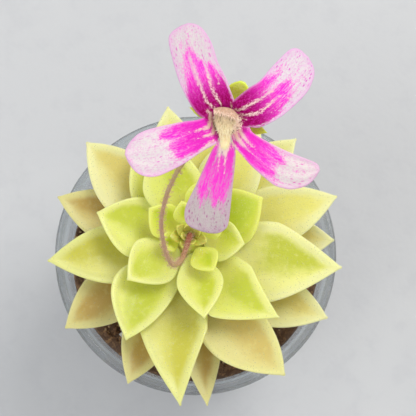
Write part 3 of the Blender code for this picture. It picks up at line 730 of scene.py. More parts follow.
def leafPoints(age, s, t):
    # The under and upper surface of a leaf at shares s along it and t across it
    azimuth, reach, width, bend, _ = rosette[age]
    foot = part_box("leaf_%02d" % (age + 1))[0][2] / mm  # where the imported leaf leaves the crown
    oldest, each, more = leafForm["footSlope"]
    start = oldest + each * age + more * max(0, age + 1 - heartLeaves)
    most, less, least = leafForm["tipDrop"]
    end = start - max(least, most - less * age)
    thick = leafForm["thick"][0] + leafForm["thick"][1] * width
    base = crownRadius(foot) + 0.4 + thick * math.sin(math.radians(start))
    fine = np.linspace(0, 1, 201)
    slope = np.radians(start + (end - start) * fine)
    middle = 0.5 * (slope[1:] + slope[:-1])
    out = np.concatenate([[0], np.cumsum(np.cos(middle))]) / 200
    up = np.concatenate([[0], np.cumsum(np.sin(middle))]) / 200
    length = (reach - base) / out[-1]
    tilt = np.interp(s, fine, slope)
    half = 0.5 * width * leafOutline(age, s)
    trough = leafForm["trough"][0 if age < outerLeaves else 1] * half * (0.6 + 0.4 * s)
    side = bend * np.sin(math.pi * s) + 0.6 * bend * s
    radial, lateral = heading(azimuth)
    edge = np.abs(t) ** 2.2
    normal = upright * np.cos(tilt)[..., None] - radial * np.sin(tilt)[..., None]
    under = np.array([*crown["at"], 0.0]) + radial * (base + length * np.interp(s, fine, out))[..., None]
    under = under + upright * (foot + length * np.interp(s, fine, up))[..., None]
    under = under + lateral * (half * t + side)[..., None] + normal * (trough * edge)[..., None]
    depth = thick + (leafForm["edgeThick"] - thick) * s
    depth = depth + (leafForm["edgeThick"] - depth) * edge
    inFrom = (1 - np.abs(t)) * half
    bead = leafForm["bead"] * np.exp(-(((inFrom - leafForm["beadIn"]) / leafForm["beadHalf"]) ** 2))
    bead = bead * np.minimum(1.0, half / 2)
    groove = leafForm["groove"] * np.exp(-((t * half / leafForm["grooveHalf"]) ** 2))
    groove = groove * np.sin(math.pi * np.minimum(1, s * 1.05))
    ripple = leafForm["ripple"] * np.sin(0.9 * length * s + 1.7 * age) * np.cos(2.4 * t + age) * (1 - t * t)
    upper = under + normal * (depth + bead - groove + ripple)[..., None]
    return under, upper, normal, inFrom, length


leafLabels = ("Blade", "Channel", "Margin", "Base", "Margin Width", "Channel Share", "Base Share",
              "Speck Share")


def makeLeafGroup():
    inputs = labelled(leafLabels, leafTones["green"])
    tree, given = newGroup("leaf skin", inputs)
    along, across = uvParts(tree, "share")
    alongMm, edgeMm = uvParts(tree, "edge")
    hollow, _ = uvParts(tree, "hollow")
    place = placeInMm(tree)
    drift = cloud(place, 0.4, 3.0, 0.6) - 0.5
    ribs = cloud(combined(alongMm * 0.16, across * 13.0), 1.0, 3.0, 0.6)
    # Darker channel down the middle, from where the leaf clears its neighbours to near the tip: partly the
    # leaf's own green, partly painted shade of its trough, pushed by the hollow map towards the wall in shade
    channel = fade(hollow + drift * 0.45, 0.12, 0.88) * fade(along, 0.14, 0.52) * fade(along, 0.99, 0.78)
    color = blendTones(channel * given["Channel Share"], given["Blade"], given["Channel"])
    color = blendTones(fade(along + drift * 0.3, 0.55, 0.1) * given["Base Share"], color, given["Base"])
    color = blendTones(fade(ribs, 0.56, 0.7) * 0.22, color, given["Channel"])
    color = blendTones(fade(cloud(place, 0.9, 3.0), 0.5, 0.75) * 0.28, color, given["Margin"])
    inFrom = (calc("ABSOLUTE", edgeMm) + drift * 0.9) / given["Margin Width"]
    color = blendTones(fade(inFrom, 1.12, 0.4, 0.0, 0.95), color, given["Margin"])
    color = blendTones(fade(spots(place, 1.1), 0.16, 0.07) * given["Speck Share"], color, tone(134, 96, 50))
    grain = cloud(place, 5.0, 2.0, 0.6)
    height = ribs * 0.5 + spots(place, 4.2) * 0.35 + grain * 0.2
    return giveOut(tree, color, fade(grain, 0.3, 0.75, 0.34, 0.58), height)


def smoothStep(value, start, end):
    share = np.clip((value - start) / (end - start), 0, 1)
    return share * share * (3 - 2 * share)


def channelShade(azimuth, t):
    # Painted shade in the channel's green: even on leaves that point at (1, 1), towards the key lamp, else
    # deepest under the rim on the lamp's side, whose wall is in shade
    a = math.radians(azimuth)
    lean = (math.cos(a) - math.sin(a)) * math.sqrt(0.5)
    u = t * np.sign(lean)
    oneSided = smoothStep(u, -0.85, 0.45) * smoothStep(u, 0.97, 0.62)
    even = smoothStep(np.abs(t), 0.85, 0.1)
    return even + (oneSided - even) * min(1.0, 1.3 * abs(lean))


def makeLeaves():
    group = makeLeafGroup()
    fixed = {**flesh(0.6, 2.4), "Subsurface Radius": (1.0, 0.85, 0.3), "IOR": 1.45, "Coat Weight": 0.12,
             "Coat Roughness": 0.2}
    paints = {}
    for name, row in leafTones.items():
        values = labelled(leafLabels, row)
        paints[name] = paintWith(name + " leaf", group, values, fixed, strength=0.45, depth=0.12)
    along, across = bladeGrid(leafForm["along"] + 1, leafForm["across"])
    share = ringValues(gridShares(along, across))
    for age in range(len(rosette)):
        under, upper, _, inFrom, length = leafPoints(age, along, across)
        rings = closeSection(under, upper, roundedEdge(inFrom, leafForm["rounding"]))
        above, below = (np.stack([along * length, sign * inFrom], axis=-1) for sign in (1, -1))
        edge = np.concatenate([above, below[:, -2:0:-1]], axis=1)
        # The hollow map places the channel's painted shade on each leaf
        hollow = ringValues(np.stack([channelShade(rosette[age][0], across), along], axis=-1))
        shape, maps = loft(rings, {"share": share, "edge": edge, "hollow": hollow})
        label = next(name for name, numbers in toneOfLeaf.items() if age + 1 in numbers)
        slotName = "leaf_old" if age < oldLeaves else "leaf_outer" if age < outerLeaves else "leaf_inner"
        number = "%02d" % (age + 1)
        addShape("Leaf" + number, shape, paints[label], slotName, "leaf_" + number, maps=maps)


makeLeaves()
print("Leaves made")


# Glands: a film of tiny stalked droplets on every upper leaf surface

glands = {
    "perSquareMm": 1.75,
    "droplet": (0.05, 0.105),  # radius
    "dropletSides": 6,
    "stalk": 0.8,  # in droplet radii
    "lean": 0.12,
    "dew": (tone(255, 255, 158), tone(255, 255, 240)),
    "cell": 0.25,  # side of the squares on which the highest leaf is found
    "reach": 36.0,  # how far out from the middle it is looked for
    "seed": 23,
}


def dropletShape(sides, stalk):
    # A droplet of radius 1 that stands on a stalk, its foot at zero
    turn = turnsRound(sides)
    heights = np.array([0.0, stalk, stalk + 0.6, stalk + 1.4, stalk + 1.9])
    radii = np.array([0.3, 0.2, 0.95, 0.9, 0.3])
    rings = np.empty((len(heights), sides, 3))
    rings[..., 0] = radii[:, None] * np.cos(turn)
    rings[..., 1] = radii[:, None] * np.sin(turn)
    rings[..., 2] = heights[:, None]
    return loft(rings, caps=(False, True))[0]


def cellsOf(places):
    cells = ((places[..., :2] + glands["reach"]) / glands["cell"]).astype(int)
    return cells[..., 0], cells[..., 1]


def topMap():
    # Highest leaf surface over each small square
    count = int(2 * glands["reach"] / glands["cell"]) + 1
    ground = np.zeros((count, count))
    s, t = np.meshgrid(np.linspace(0, 1, 150), np.linspace(-1, 1, 90), indexing="ij")
    for age in range(len(rosette)):
        upper = leafPoints(age, s, t)[1]
        np.maximum.at(ground, cellsOf(upper), upper[..., 2])
    return ground


def makeGlands():
    ground = topMap()
    chance = np.random.default_rng(glands["seed"])
    dew = dewPaint("gland dew", *glands["dew"])
    shape = dropletShape(glands["dropletSides"], glands["stalk"])
    for name, ages, slotName in (("GlandsOuter", range(0, outerLeaves), "leaf_outer"),
                                 ("GlandsInner", range(outerLeaves, len(rosette)), "leaf_inner")):
        places, normals = [], []
        for age in ages:
            reach, width = rosette[age][1:3]
            tries = int(glands["perSquareMm"] * reach * width)
            s, t = chance.uniform(0.1, 0.99, tries), chance.uniform(-0.97, 0.97, tries)
            kept = chance.uniform(0, 1, tries) < leafOutline(age, s)
            _, upper, normal, inFrom, _ = leafPoints(age, s[kept], t[kept])
            clear = (ground[cellsOf(upper)] < upper[:, 2] + 0.2) & (inFrom > 0.25)
            places.append(upper[clear] - normal[clear] * 0.03)
            normals.append(normal[clear])
        places, normals = np.concatenate(places), np.concatenate(normals)
        lean = unit(normals + chance.normal(0, glands["lean"], normals.shape))
        size = chance.uniform(*glands["droplet"], (len(places), 1))
        addCopies(name, shape, places, lean, size, chance, dew, slotName)
        print(name, len(places))


makeGlands()
print("Glands made")


# Crown: the short stem in the middle, with the buds of the next leaves round the scape

buds = {
    "each": (  # azimuth, length, width and steepness, lowest first
        (188, 3.8, 2.7, 36), (332, 4.0, 2.6, 40), (244, 3.3, 2.2, 43), (62, 3.8, 2.5, 45),
        (152, 3.4, 2.3, 50), (286, 2.6, 1.8, 55), (14, 2.8, 1.9, 57), (110, 2.3, 1.7, 62),
        (200, 2.4, 1.7, 64),
    ),
    "away": 1.25,  # from the crown's axis
    "thick": 0.5,
    "rounding": 0.22,
    "curl": 12,  # degrees from foot to tip
    "hollow": 0.34,
    "rise": 0.12,  # from one bud to the next
}


def budShape(number):
    # A small fleshy leaf that rises beside the scape, hollow on its upper side
    azimuth, length, width, steep = buds["each"][number]
    radial, lateral = heading(azimuth)
    s, t = bladeGrid(21, 15)
    tilt = np.radians(steep + buds["curl"] * s)[..., None]
    half = 0.5 * width * np.maximum(0.08, np.sin(math.pi * (0.22 + 0.78 * s)) ** 0.7)
    normal = upright * np.cos(tilt) - radial * np.sin(tilt)
    run = radial * np.cos(tilt) + upright * np.sin(tilt)
    foot = np.array([*crown["at"], crown["top"] - 0.5 + buds["rise"] * number]) + radial * buds["away"]
    low = foot + run * (length * s)[..., None] + lateral * (half * t)[..., None]
    low = low + normal * (buds["hollow"] * half * np.abs(t) ** 2.2)[..., None]
    high = low + normal * (buds["thick"] - 0.12 * np.abs(t))[..., None]
    return loft(closeSection(low, high, roundedEdge((1 - np.abs(t)) * half, buds["rounding"])))[0]


def makeCrown():
    foot, top, socket = crown["foot"], crown["top"], crown["socket"]
    profile = [(0.01, foot), (crown["radius"] - 1.2, foot), (crown["radius"] - 0.2, foot + 2.5)]
    profile += [(float(crownRadius(z)), z) for z in np.linspace(foot + 5.0, top - 0.8, 34)]
    profile += [(socket + 0.3, top), (socket, top - 0.1), (socket, top - 1.4), (0.01, top - 1.4)]
    rings = lathe(profile, 48)
    x, y, z = rings[..., 0], rings[..., 1], rings[..., 2]
    turn = np.arctan2(y, x)
    scars = 1 + 0.018 * np.sin(3.0 * turn + 2.4 * z) + 0.012 * np.sin(7.0 * turn - 1.9 * z)
    scars = np.where(np.arange(len(rings))[:, None] < len(rings) - 4, scars, 1.0)
    rings[..., 0], rings[..., 1] = crown["at"][0] + x * scars, crown["at"][1] + y * scars
    shapes = [loft(rings)[0]] + [budShape(number) for number in range(len(buds["each"]))]
    shape = merged([(p, *outward(p, q, r)) for p, q, r in shapes])
    paint = grainPaint("crown stem", crown["look"], flesh(0.2, 1.0))
    addShape("ShortStem", shape, paint, "crown", "crown", sharp=50)


makeCrown()
print("Crown made")


# Scape: the flower stalk, reddish at its foot, with fine glandular hairs

scape = {
    "radii": (0.55, 0.46, 0.36, 0.33, 0.34, 0.37),  # from its foot to the flower
    "route": (
        (-1.0, 1.7, 60.15), (-1.0, 1.65, 61.9), (-1.1, 0.8, 64.2), (-1.6, -1.4, 66.4), (-2.4, -4.0, 69.8),
        (-3.4, -5.8, 75.0), (-4.3, -6.2, 82.0), (-5.0, -5.0, 92.0), (-5.2, -2.9, 104.0), (-4.2, -0.8, 114.5),
        (-3.1, 0.5, 121.0), (-1.6, 2.1, 126.0), (1.2, 4.8, 129.4), (4.1, 7.3, 130.5), (5.1, 7.95, 131.4),
        (5.28, 7.79, 132.47),
    ),
    "stations": 230,
    "sides": 22,
    "hairs": 900,
    "hairLength": (0.25, 0.6),
    "tones": ((142, 66, 52), (190, 148, 114), (190, 172, 100)),  # foot, middle, top
    "hairLook": ((214, 172, 142), (236, 214, 186), (170, 104, 92), 0.6, 0.6, 0.3, 0.1),
    "seed": 31,
}
alongLabels = ("Start", "Middle", "End", "First Change", "Last Change", "Base Roughness")


def makeAlongGroup():
    # Three tones that follow each other along a piece, with lengthwise streaks
    inputs = labelled(alongLabels, ((104, 40, 52), (142, 84, 84), (168, 150, 84), 0.2, 1.0, 0.45))
    tree, given = newGroup("tones along", inputs)
    along, _ = uvParts(tree, "share")
    streaks = through(tree, "Mapping", {"Vector": placeInMm(tree), "Scale": (3.0, 3.0, 0.35)})
    drift = cloud(streaks, 1.0, 3.0, 0.6)
    shifted = along + (drift - 0.5) * 0.35
    first, last = given["First Change"], given["Last Change"]
    color = blendTones(fade(shifted, first - 0.18, first), given["Start"], given["Middle"])
    color = blendTones(fade(shifted, last - 0.4, last), color, given["End"])
    color = blendTones(fade(drift, 0.55, 0.8) * 0.3, color, given["End"])
    rough = calc("ADD", given["Base Roughness"], fade(drift, 0.3, 0.7, -0.1, 0.15), clamp=True)
    return giveOut(tree, color, rough, drift)


alongGroup = makeAlongGroup()


def hairShape(sides, bend):
    # A glandular hair of length 1: a slender stalk that leans over, with a droplet on its end
    centres = np.array([(bend * z * z, 0.0, z) for z in (0.0, 0.3, 0.6, 0.86)])
    stalk = pipeRings(centres, (0.075, 0.05, 0.04, 0.035), sides)
    turn = turnsRound(sides)
    head = []
    for radius, height in ((0.09, 0.88), (0.13, 0.94), (0.1, 1.01)):
        x, y = bend * height**2 + radius * np.cos(turn), radius * np.sin(turn)
        head.append(np.stack([x, y, np.full(sides, height)], axis=1))
    return loft(np.concatenate([stalk, np.array(head)]), caps=(False, True))[0]


def makeScape():
    centres = smoothLine(scape["route"], scape["stations"])
    s = np.linspace(0, 1, scape["stations"])
    radii = np.interp(s, np.linspace(0, 1, len(scape["radii"])), scape["radii"])
    radii = radii * (1 + 0.03 * np.sin(37 * s) + 0.02 * np.sin(91 * s + 1.0))
    rings = pipeRings(centres, radii, scape["sides"])
    share = np.stack(np.broadcast_arrays(s[:, None], np.linspace(0, 1, scape["sides"])[None]), axis=-1)
    shape, maps = loft(rings, {"share": share})
    values = labelled(alongLabels, scape["tones"])
    skin = paintWith("stalk skin", alongGroup, values, flesh(0.15, 0.6), strength=0.4, depth=0.08)
    addShape("ScapeStalk", shape, skin, "scape", "scape", maps=maps)

    chance = np.random.default_rng(scape["seed"])
    at = chance.uniform(0.03, 0.99, scape["hairs"])
    _, side, up = pipeFrames(centres)
    turn = chance.uniform(0, math.tau, scape["hairs"])
    pick = (at * (scape["stations"] - 1)).astype(int)
    outwards = side[pick] * np.cos(turn)[:, None] + up[pick] * np.sin(turn)[:, None]
    places = centres[pick] + outwards * (radii[pick] - 0.04)[:, None]
    length = chance.uniform(*scape["hairLength"], (scape["hairs"], 1))
    normals = outwards + 0.2 * chance.normal(size=outwards.shape)
    hair = grainPaint("gland hair", scape["hairLook"])
    addCopies("ScapeHairs", hairShape(sides=5, bend=0.18), places, normals, length, chance, hair, "scape")


makeScape()
print("Scape made")


# Flower: five lobes round a hairy throat, in one piece with the tube and spur

flower = {
    "at": (5.28, 5.85, 140.0),
    "tip": math.radians(10),
    "mouthAt": (-0.2, -0.4),
    "mouthRadii": (2.0, 1.7),
    "thick": 0.34,
    "tubeWall": 0.62,
    "tubeOpen": 3,  # how many of the tube's places its hollow takes in
    "collar": 14,  # rows from the mouth to the notches
    "collarShare": 0.25,
    "along": 80,
    "across": 50,
    "lobeLength": 11.0,  # for the streaks, in every lobe alike
    "tubeRows": 42,
    "flushShare": 0.46,  # how strong the flush is beside the fingers
    "lineProud": 0.09,  # how far a cream line stands up at the throat
    "spurLook": ((214, 186, 168), (226, 206, 160), (178, 96, 130), 1.6, 0.7, 0.5, 0.3),
    "throatLook": ((206, 168, 140), (236, 212, 186), (166, 96, 104), 0.5, 0.8, 0.55, 0.3),
}
notches = ((0.9, 2.9), (-3.6, 0.3), (-1.7, -3.4), (1.0, -4.1), (3.1, -1.0))
lobes = {  # each lobe's two edges from notch to tip, and how far the tip bends back
    "upper left": (
        ((0.2, 4.7), (-0.2, 5.9), (-1.4, 8.3), (-2.3, 11.0), (-3.5, 13.0), (-4.6, 13.8), (-5.7, 14.0)),
        ((-4.4, 0.9), (-5.6, 2.6), (-6.9, 5.3), (-7.9, 8.5), (-8.5, 11.4), (-8.1, 12.6), (-6.9, 13.5),
         (-5.7, 14.0)),
        0.9,
    ),
    "left": (
        ((-4.6, 0.0), (-6.9, -0.3), (-10.6, -1.1), (-12.6, -1.8), (-13.8, -2.8), (-14.6, -4.0),
         (-14.8, -4.9)),
        ((-3.7, -4.5), (-6.4, -6.3), (-9.2, -7.7), (-10.6, -8.1), (-12.0, -8.0), (-13.2, -7.4), (-14.2, -6.2),
         (-14.8, -4.9)),
        0.7,
    ),
    "lower": (
        ((-2.3, -4.3), (-2.9, -5.6), (-4.6, -9.3), (-6.0, -12.2), (-6.2, -14.1), (-5.5, -15.2), (-3.9, -15.9),
         (-2.7, -16.2)),
        ((1.1, -5.0), (0.9, -7.5), (0.6, -10.2), (0.1, -14.6), (-0.5, -15.7), (-1.5, -16.2), (-2.7, -16.2)),
        1.0,
    ),
    "right": (
        ((1.7, -4.7), (3.4, -6.6), (6.3, -9.1), (7.8, -9.7), (9.2, -9.9), (11.2, -9.4), (12.5, -8.3),
         (13.2, -7.2)),
        ((3.7, -1.9), (6.3, -3.4), (9.1, -4.7), (12.2, -5.9), (13.0, -6.5), (13.2, -7.2)),
        0.8,
    ),
    "upper right": (
        ((3.8, -1.1), (5.0, -0.9), (7.9, 0.7), (11.1, 3.7), (12.2, 5.8), (12.4, 7.0), (12.1, 8.1),
         (11.5, 9.1)),
        ((1.6, 3.5), (3.0, 4.6), (4.5, 5.6), (6.0, 7.3), (7.6, 9.0), (9.0, 10.2), (10.2, 10.2), (11.5, 9.1)),
        0.6,
    ),
}
tube = (  # centre (across, up, forward) and outer radius down to the spur's end
    (0.0, -0.45, -1.6, 2.25), (0.0, -0.5, -2.7, 1.95), (0.0, -0.65, -3.8, 1.65), (0.1, -1.1, -5.0, 1.25),
    (0.25, -1.8, -6.3, 0.85), (0.5, -2.6, -7.8, 0.6), (0.8, -3.2, -9.5, 0.45), (1.1, -3.6, -11.3, 0.35),
)
petalTones = {
    "Bright": tone(246, 46, 204),
    "Deep": tone(142, 0, 78),
    "Line": tone(236, 208, 200),
    "Throat Line": tone(216, 180, 156),
}
petalLabels = ("White", "Tip", "Deep Share", "Cover", "Dot Share", "Dot")  # cover: how much magenta shows
lobePaints = {
    "upper left": ((212, 206, 204), (224, 170, 212), 1.0, 1.0, 0.9, (214, 108, 188)),
    "left": ((228, 220, 218), (230, 176, 216), 0.25, 1.0, 0.85, (222, 114, 196)),
    # The lower lobe's white and tip are greyer than the other lobes': painted shade
    "lower": ((190, 181, 178), (196, 166, 182), 0.2, 0.95, 1.0, (166, 92, 140)),
    "right": ((224, 218, 212), (226, 178, 212), 0.2, 1.0, 0.9, (220, 106, 188)),
    "upper right": ((222, 215, 216), (226, 172, 216), 1.0, 1.0, 1.0, (216, 106, 196)),
    "back": ((230, 208, 218), (230, 180, 214), 0.1, 0.62, 0.2, (224, 134, 196)),
}
# How much magenta each lobe has at its foot
footShares = {"upper left": 0.85, "left": 0.7, "lower": 0.0, "right": 0.5, "upper right": 0.85}
# Cream lines, fingers of magenta and its paler flush, drawn after the photo: (across, up, half width)
petalStrokes = {
    "upper left": (
        (((-5.35, 8.8, 0.16), (-4.9, 7.25, 0.26), (-4.5, 5.95, 0.27), (-3.85, 4.55, 0.25), (-3.4, 3.5, 0.24),
          (-2.93, 2.5, 0.22), (-1.95, 1.72, 0.2)),
         ((-3.3, 7.6, 0.14), (-2.93, 6.6, 0.28), (-2.55, 5.25, 0.27), (-2.1, 4.1, 0.24), (-1.6, 3.2, 0.22),
          (-0.95, 2.2, 0.17)),
         ((-1.9, 6.9, 0.05), (-1.5, 5.8, 0.09), (-1.25, 5.0, 0.04)),
         ((-2.95, 1.35, 0.2), (-2.55, 0.95, 0.3), (-2.5, 0.3, 0.33), (-2.48, -0.3, 0.33)),
         ((0.45, 2.5, 0.08), (0.55, 1.9, 0.16), (0.75, 1.5, 0.16))),
        (((-3.9, 1.4, 1.2), (-4.65, 3.6, 1.0), (-5.1, 4.9, 0.7), (-5.5, 5.9, 0.3)),
         ((-4.4, 4.5, 0.42), (-5.14, 6.2, 0.3), (-5.5, 7.3, 0.26), (-5.8, 8.4, 0.25), (-5.9, 9.25, 0.24),
          (-5.7, 10.2, 0.2)),
         ((-5.66, 10.2, 0.18), (-5.2, 9.5, 0.24), (-4.8, 8.6, 0.26), (-4.3, 7.75, 0.3), (-3.95, 6.9, 0.36)),
         ((-1.8, 2.2, 0.6), (-2.5, 3.8, 0.5), (-3.1, 5.3, 0.5), (-3.7, 6.7, 0.55), (-3.95, 7.6, 0.42),
          (-4.0, 8.6, 0.14)),
         ((-0.2, 2.4, 0.9), (-1.0, 4.4, 0.65), (-1.8, 6.0, 0.5), (-2.5, 7.4, 0.35), (-3.0, 8.5, 0.14))),
        (((-5.0, 4.4, 1.2), (-5.9, 6.6, 0.7), (-6.5, 8.2, 0.3)),
         ((0.2, 3.6, 0.7), (-0.5, 5.0, 0.5), (-1.1, 6.6, 0.3)),
         ((-5.9, 12.2, 0.25), (-5.95, 11.2, 0.2)), ((-6.7, 10.8, 0.22), (-6.8, 10.6, 0.22))),
    ),
    "left": (
        (((-2.55, 0.8, 0.33), (-2.48, -0.1, 0.35), (-2.8, -0.95, 0.35), (-3.6, -1.25, 0.28),
          (-4.6, -1.58, 0.12), (-5.5, -1.75, 0.03)),
         ((-1.9, 1.1, 0.3), (-1.95, -0.1, 0.32), (-1.96, -1.1, 0.33), (-2.2, -1.85, 0.33),
          (-3.1, -2.28, 0.23), (-4.0, -2.5, 0.1), (-4.9, -2.75, 0.03)),
         ((-2.1, -2.9, 0.2), (-2.9, -3.6, 0.3), (-3.9, -4.5, 0.3))),
        (((-3.0, 0.3, 0.8), (-4.5, -0.6, 0.85), (-6.1, -1.2, 0.9), (-7.6, -1.8, 0.82), (-8.8, -2.15, 0.55),
          (-9.7, -2.3, 0.16)),
         ((-2.6, -1.6, 0.32), (-4.2, -2.4, 0.7), (-5.8, -3.05, 0.95), (-7.0, -3.6, 0.9), (-8.1, -3.85, 0.3)),
         ((-1.9, -2.2, 0.25), (-3.2, -3.0, 0.42), (-4.5, -3.8, 0.52), (-5.8, -4.4, 0.55), (-6.8, -4.9, 0.5),
          (-7.5, -4.95, 0.14))),
        (((-5.3, -0.4, 0.5), (-7.5, -0.95, 0.5), (-9.0, -1.5, 0.3)), ((-5.8, -5.2, 0.4), (-7.6, -5.7, 0.35))),
    ),
    "lower": (
        (((-0.45, -2.8, 0.8), (-0.43, -3.8, 0.75), (-0.4, -4.6, 0.42), (-0.42, -5.4, 0.2), (-0.5, -6.8, 0.1),
          (-0.6, -8.2, 0.06)),
         ((-1.0, -3.4, 0.3), (-1.15, -4.5, 0.24), (-1.3, -5.8, 0.14), (-1.45, -7.2, 0.06)),
         ((-1.9, -2.7, 0.2), (-1.75, -3.4, 0.16)), ((0.75, -3.3, 0.18), (0.7, -3.9, 0.1))),
        (((-1.8, -3.6, 0.35), (-2.38, -4.86, 0.52), (-2.75, -6.3, 0.62), (-3.2, -8.05, 0.7),
          (-3.5, -9.65, 0.6), (-3.85, -11.2, 0.2)),
         ((-1.0, -5.4, 0.35), (-1.1, -6.8, 0.7), (-1.4, -8.5, 0.85), (-1.7, -10.2, 0.65), (-1.9, -11.7, 0.3),
          (-1.8, -12.8, 0.1)),
         ((0.35, -4.1, 0.5), (0.25, -5.65, 0.52), (0.0, -7.4, 0.56), (-0.45, -9.2, 0.6), (-0.8, -10.8, 0.45),
          (-0.95, -11.8, 0.14))),
        (((-2.9, -7.0, 0.9), (-3.6, -10.4, 0.8), (-4.0, -12.4, 0.3)),
         ((-0.6, -9.0, 0.9), (-1.2, -12.6, 0.5))),
    ),
    "right": (
        (((1.0, -0.8, 0.26), (1.08, -1.75, 0.3), (1.42, -2.6, 0.32), (1.95, -3.3, 0.25), (2.6, -4.0, 0.1),
          (3.1, -4.5, 0.03)),
         ((1.5, -0.7, 0.26), (1.78, -1.7, 0.28), (2.25, -2.5, 0.28), (2.85, -3.2, 0.2), (3.6, -3.9, 0.1),
          (4.3, -4.5, 0.03)),
         ((0.9, -3.6, 0.2), (1.5, -4.6, 0.22), (2.3, -5.5, 0.2))),
        (((2.2, -1.2, 0.4), (3.8, -2.8, 0.58), (5.3, -3.95, 0.66), (6.55, -4.95, 0.55), (7.4, -5.75, 0.34),
          (8.35, -6.8, 0.1)),
         ((1.6, -2.2, 0.16), (2.4, -3.0, 0.3), (3.7, -4.15, 0.52), (4.95, -5.25, 0.56), (6.1, -6.05, 0.35),
          (7.2, -6.5, 0.12)),
         ((0.9, -3.0, 0.24), (1.9, -4.25, 0.42), (3.2, -5.55, 0.62), (4.5, -6.5, 0.66), (5.8, -7.3, 0.5),
          (6.85, -7.85, 0.12))),
        (((7.0, -4.5, 0.35), (8.5, -5.1, 0.25)), ((5.0, -7.9, 0.5), (7.4, -8.6, 0.35)),
         ((9.4, -7.4, 0.3), (10.6, -7.0, 0.2))),
    ),
    "upper right": (
        (((1.0, 1.5, 0.18), (1.63, 1.44, 0.2), (2.4, 1.82, 0.22), (3.43, 2.34, 0.25), (4.59, 2.98, 0.27),
          (5.49, 3.62, 0.25), (6.52, 4.26, 0.2), (7.16, 5.03, 0.1)),
         ((1.2, 0.75, 0.16), (2.4, 0.73, 0.21), (3.69, 0.92, 0.23), (4.59, 1.18, 0.25), (5.49, 1.82, 0.25),
          (6.26, 2.59, 0.27), (7.29, 3.24, 0.25), (8.06, 4.01, 0.1)),
         ((1.3, 0.45, 0.12), (1.9, 0.3, 0.15), (2.5, 0.1, 0.1)),
         ((6.2, 1.0, 0.05), (7.6, 2.3, 0.1), (8.8, 3.3, 0.12))),
        (((1.3, 2.6, 0.95), (3.2, 3.8, 0.85), (4.85, 4.95, 0.7), (6.3, 5.9, 0.3), (7.6, 6.9, 0.12)),
         ((1.6, 1.1, 0.3), (3.7, 1.65, 0.4), (5.0, 2.4, 0.5), (6.5, 3.4, 0.66), (7.7, 4.35, 0.66),
          (8.6, 5.3, 0.3), (9.0, 6.2, 0.12)),
         ((8.2, 4.7, 0.3), (9.0, 5.4, 0.14), (9.5, 6.2, 0.14), (10.1, 7.2, 0.12), (10.2, 8.1, 0.08)),
         ((7.6, 3.6, 0.4), (8.7, 4.3, 0.22), (9.5, 5.1, 0.16), (10.2, 5.7, 0.12), (11.1, 6.4, 0.08)),
         ((2.2, -0.35, 0.85), (4.0, 0.13, 0.9), (5.5, 1.1, 0.78), (6.8, 1.95, 0.62), (8.0, 3.0, 0.45),
          (9.1, 3.9, 0.14))),
        (((5.0, 5.4, 0.8), (6.8, 6.8, 0.5), (8.2, 8.0, 0.25)), ((7.8, 2.2, 0.5), (9.8, 4.4, 0.35))),
    ),
}


def inWorld(across, up, forward):
    # A place of the flower's own frame
    c, s = math.cos(flower["tip"]), math.sin(flower["tip"])
    x, y, z = flower["at"]
    parts = np.broadcast_arrays(x + across, y + up * c - forward * s, z + up * s + forward * c)
    return np.stack(parts, axis=-1)


def inWorldWays(ways):
    # Directions of the flower's frame, in the world
    return inWorld(*ways.T) - np.array(flower["at"])


def mouthPoint(turn, out=1.0):
    (x, y), (wide, tall) = flower["mouthAt"], flower["mouthRadii"]
    return x + wide * out * np.cos(turn), y + tall * out * np.sin(turn)


def limbForward(across, up, drop=0.0, along=0.0, over=0.0):
    # How far forward the lobes lie: a funnel at the mouth, the tips bent back
    away = np.hypot(across - flower["mouthAt"][0], up - flower["mouthAt"][1])
    funnel = -0.75 * np.exp(-((np.maximum(0.0, away - 1.7) / 1.1) ** 2))
    return funnel - drop * along**2 - 0.22 * over**2 * np.minimum(1.0, 3 * along)


def strokeCover(x, y, strokes, soft, width=1.0, faint=0.001):
    # 1 inside a stroke, 0 well outside it, a half at its edge; paler where it is thinner than faint
    cover = np.zeros(x.shape)
    for stroke in strokes:
        line = smoothLine(stroke, 5 * len(stroke))
        for (ax, ay, aw), (bx, by, bw) in zip(line, line[1:]):
            runX, runY = bx - ax, by - ay
            t = np.clip(((x - ax) * runX + (y - ay) * runY) / (runX**2 + runY**2), 0, 1)
            away = np.hypot(x - ax - t * runX, y - ay - t * runY)
            wide = width * (aw + (bw - aw) * t)
            cover = np.maximum(cover, np.clip(0.5 + (wide - away) / soft, 0, 1) * np.minimum(1, wide / faint))
    return cover


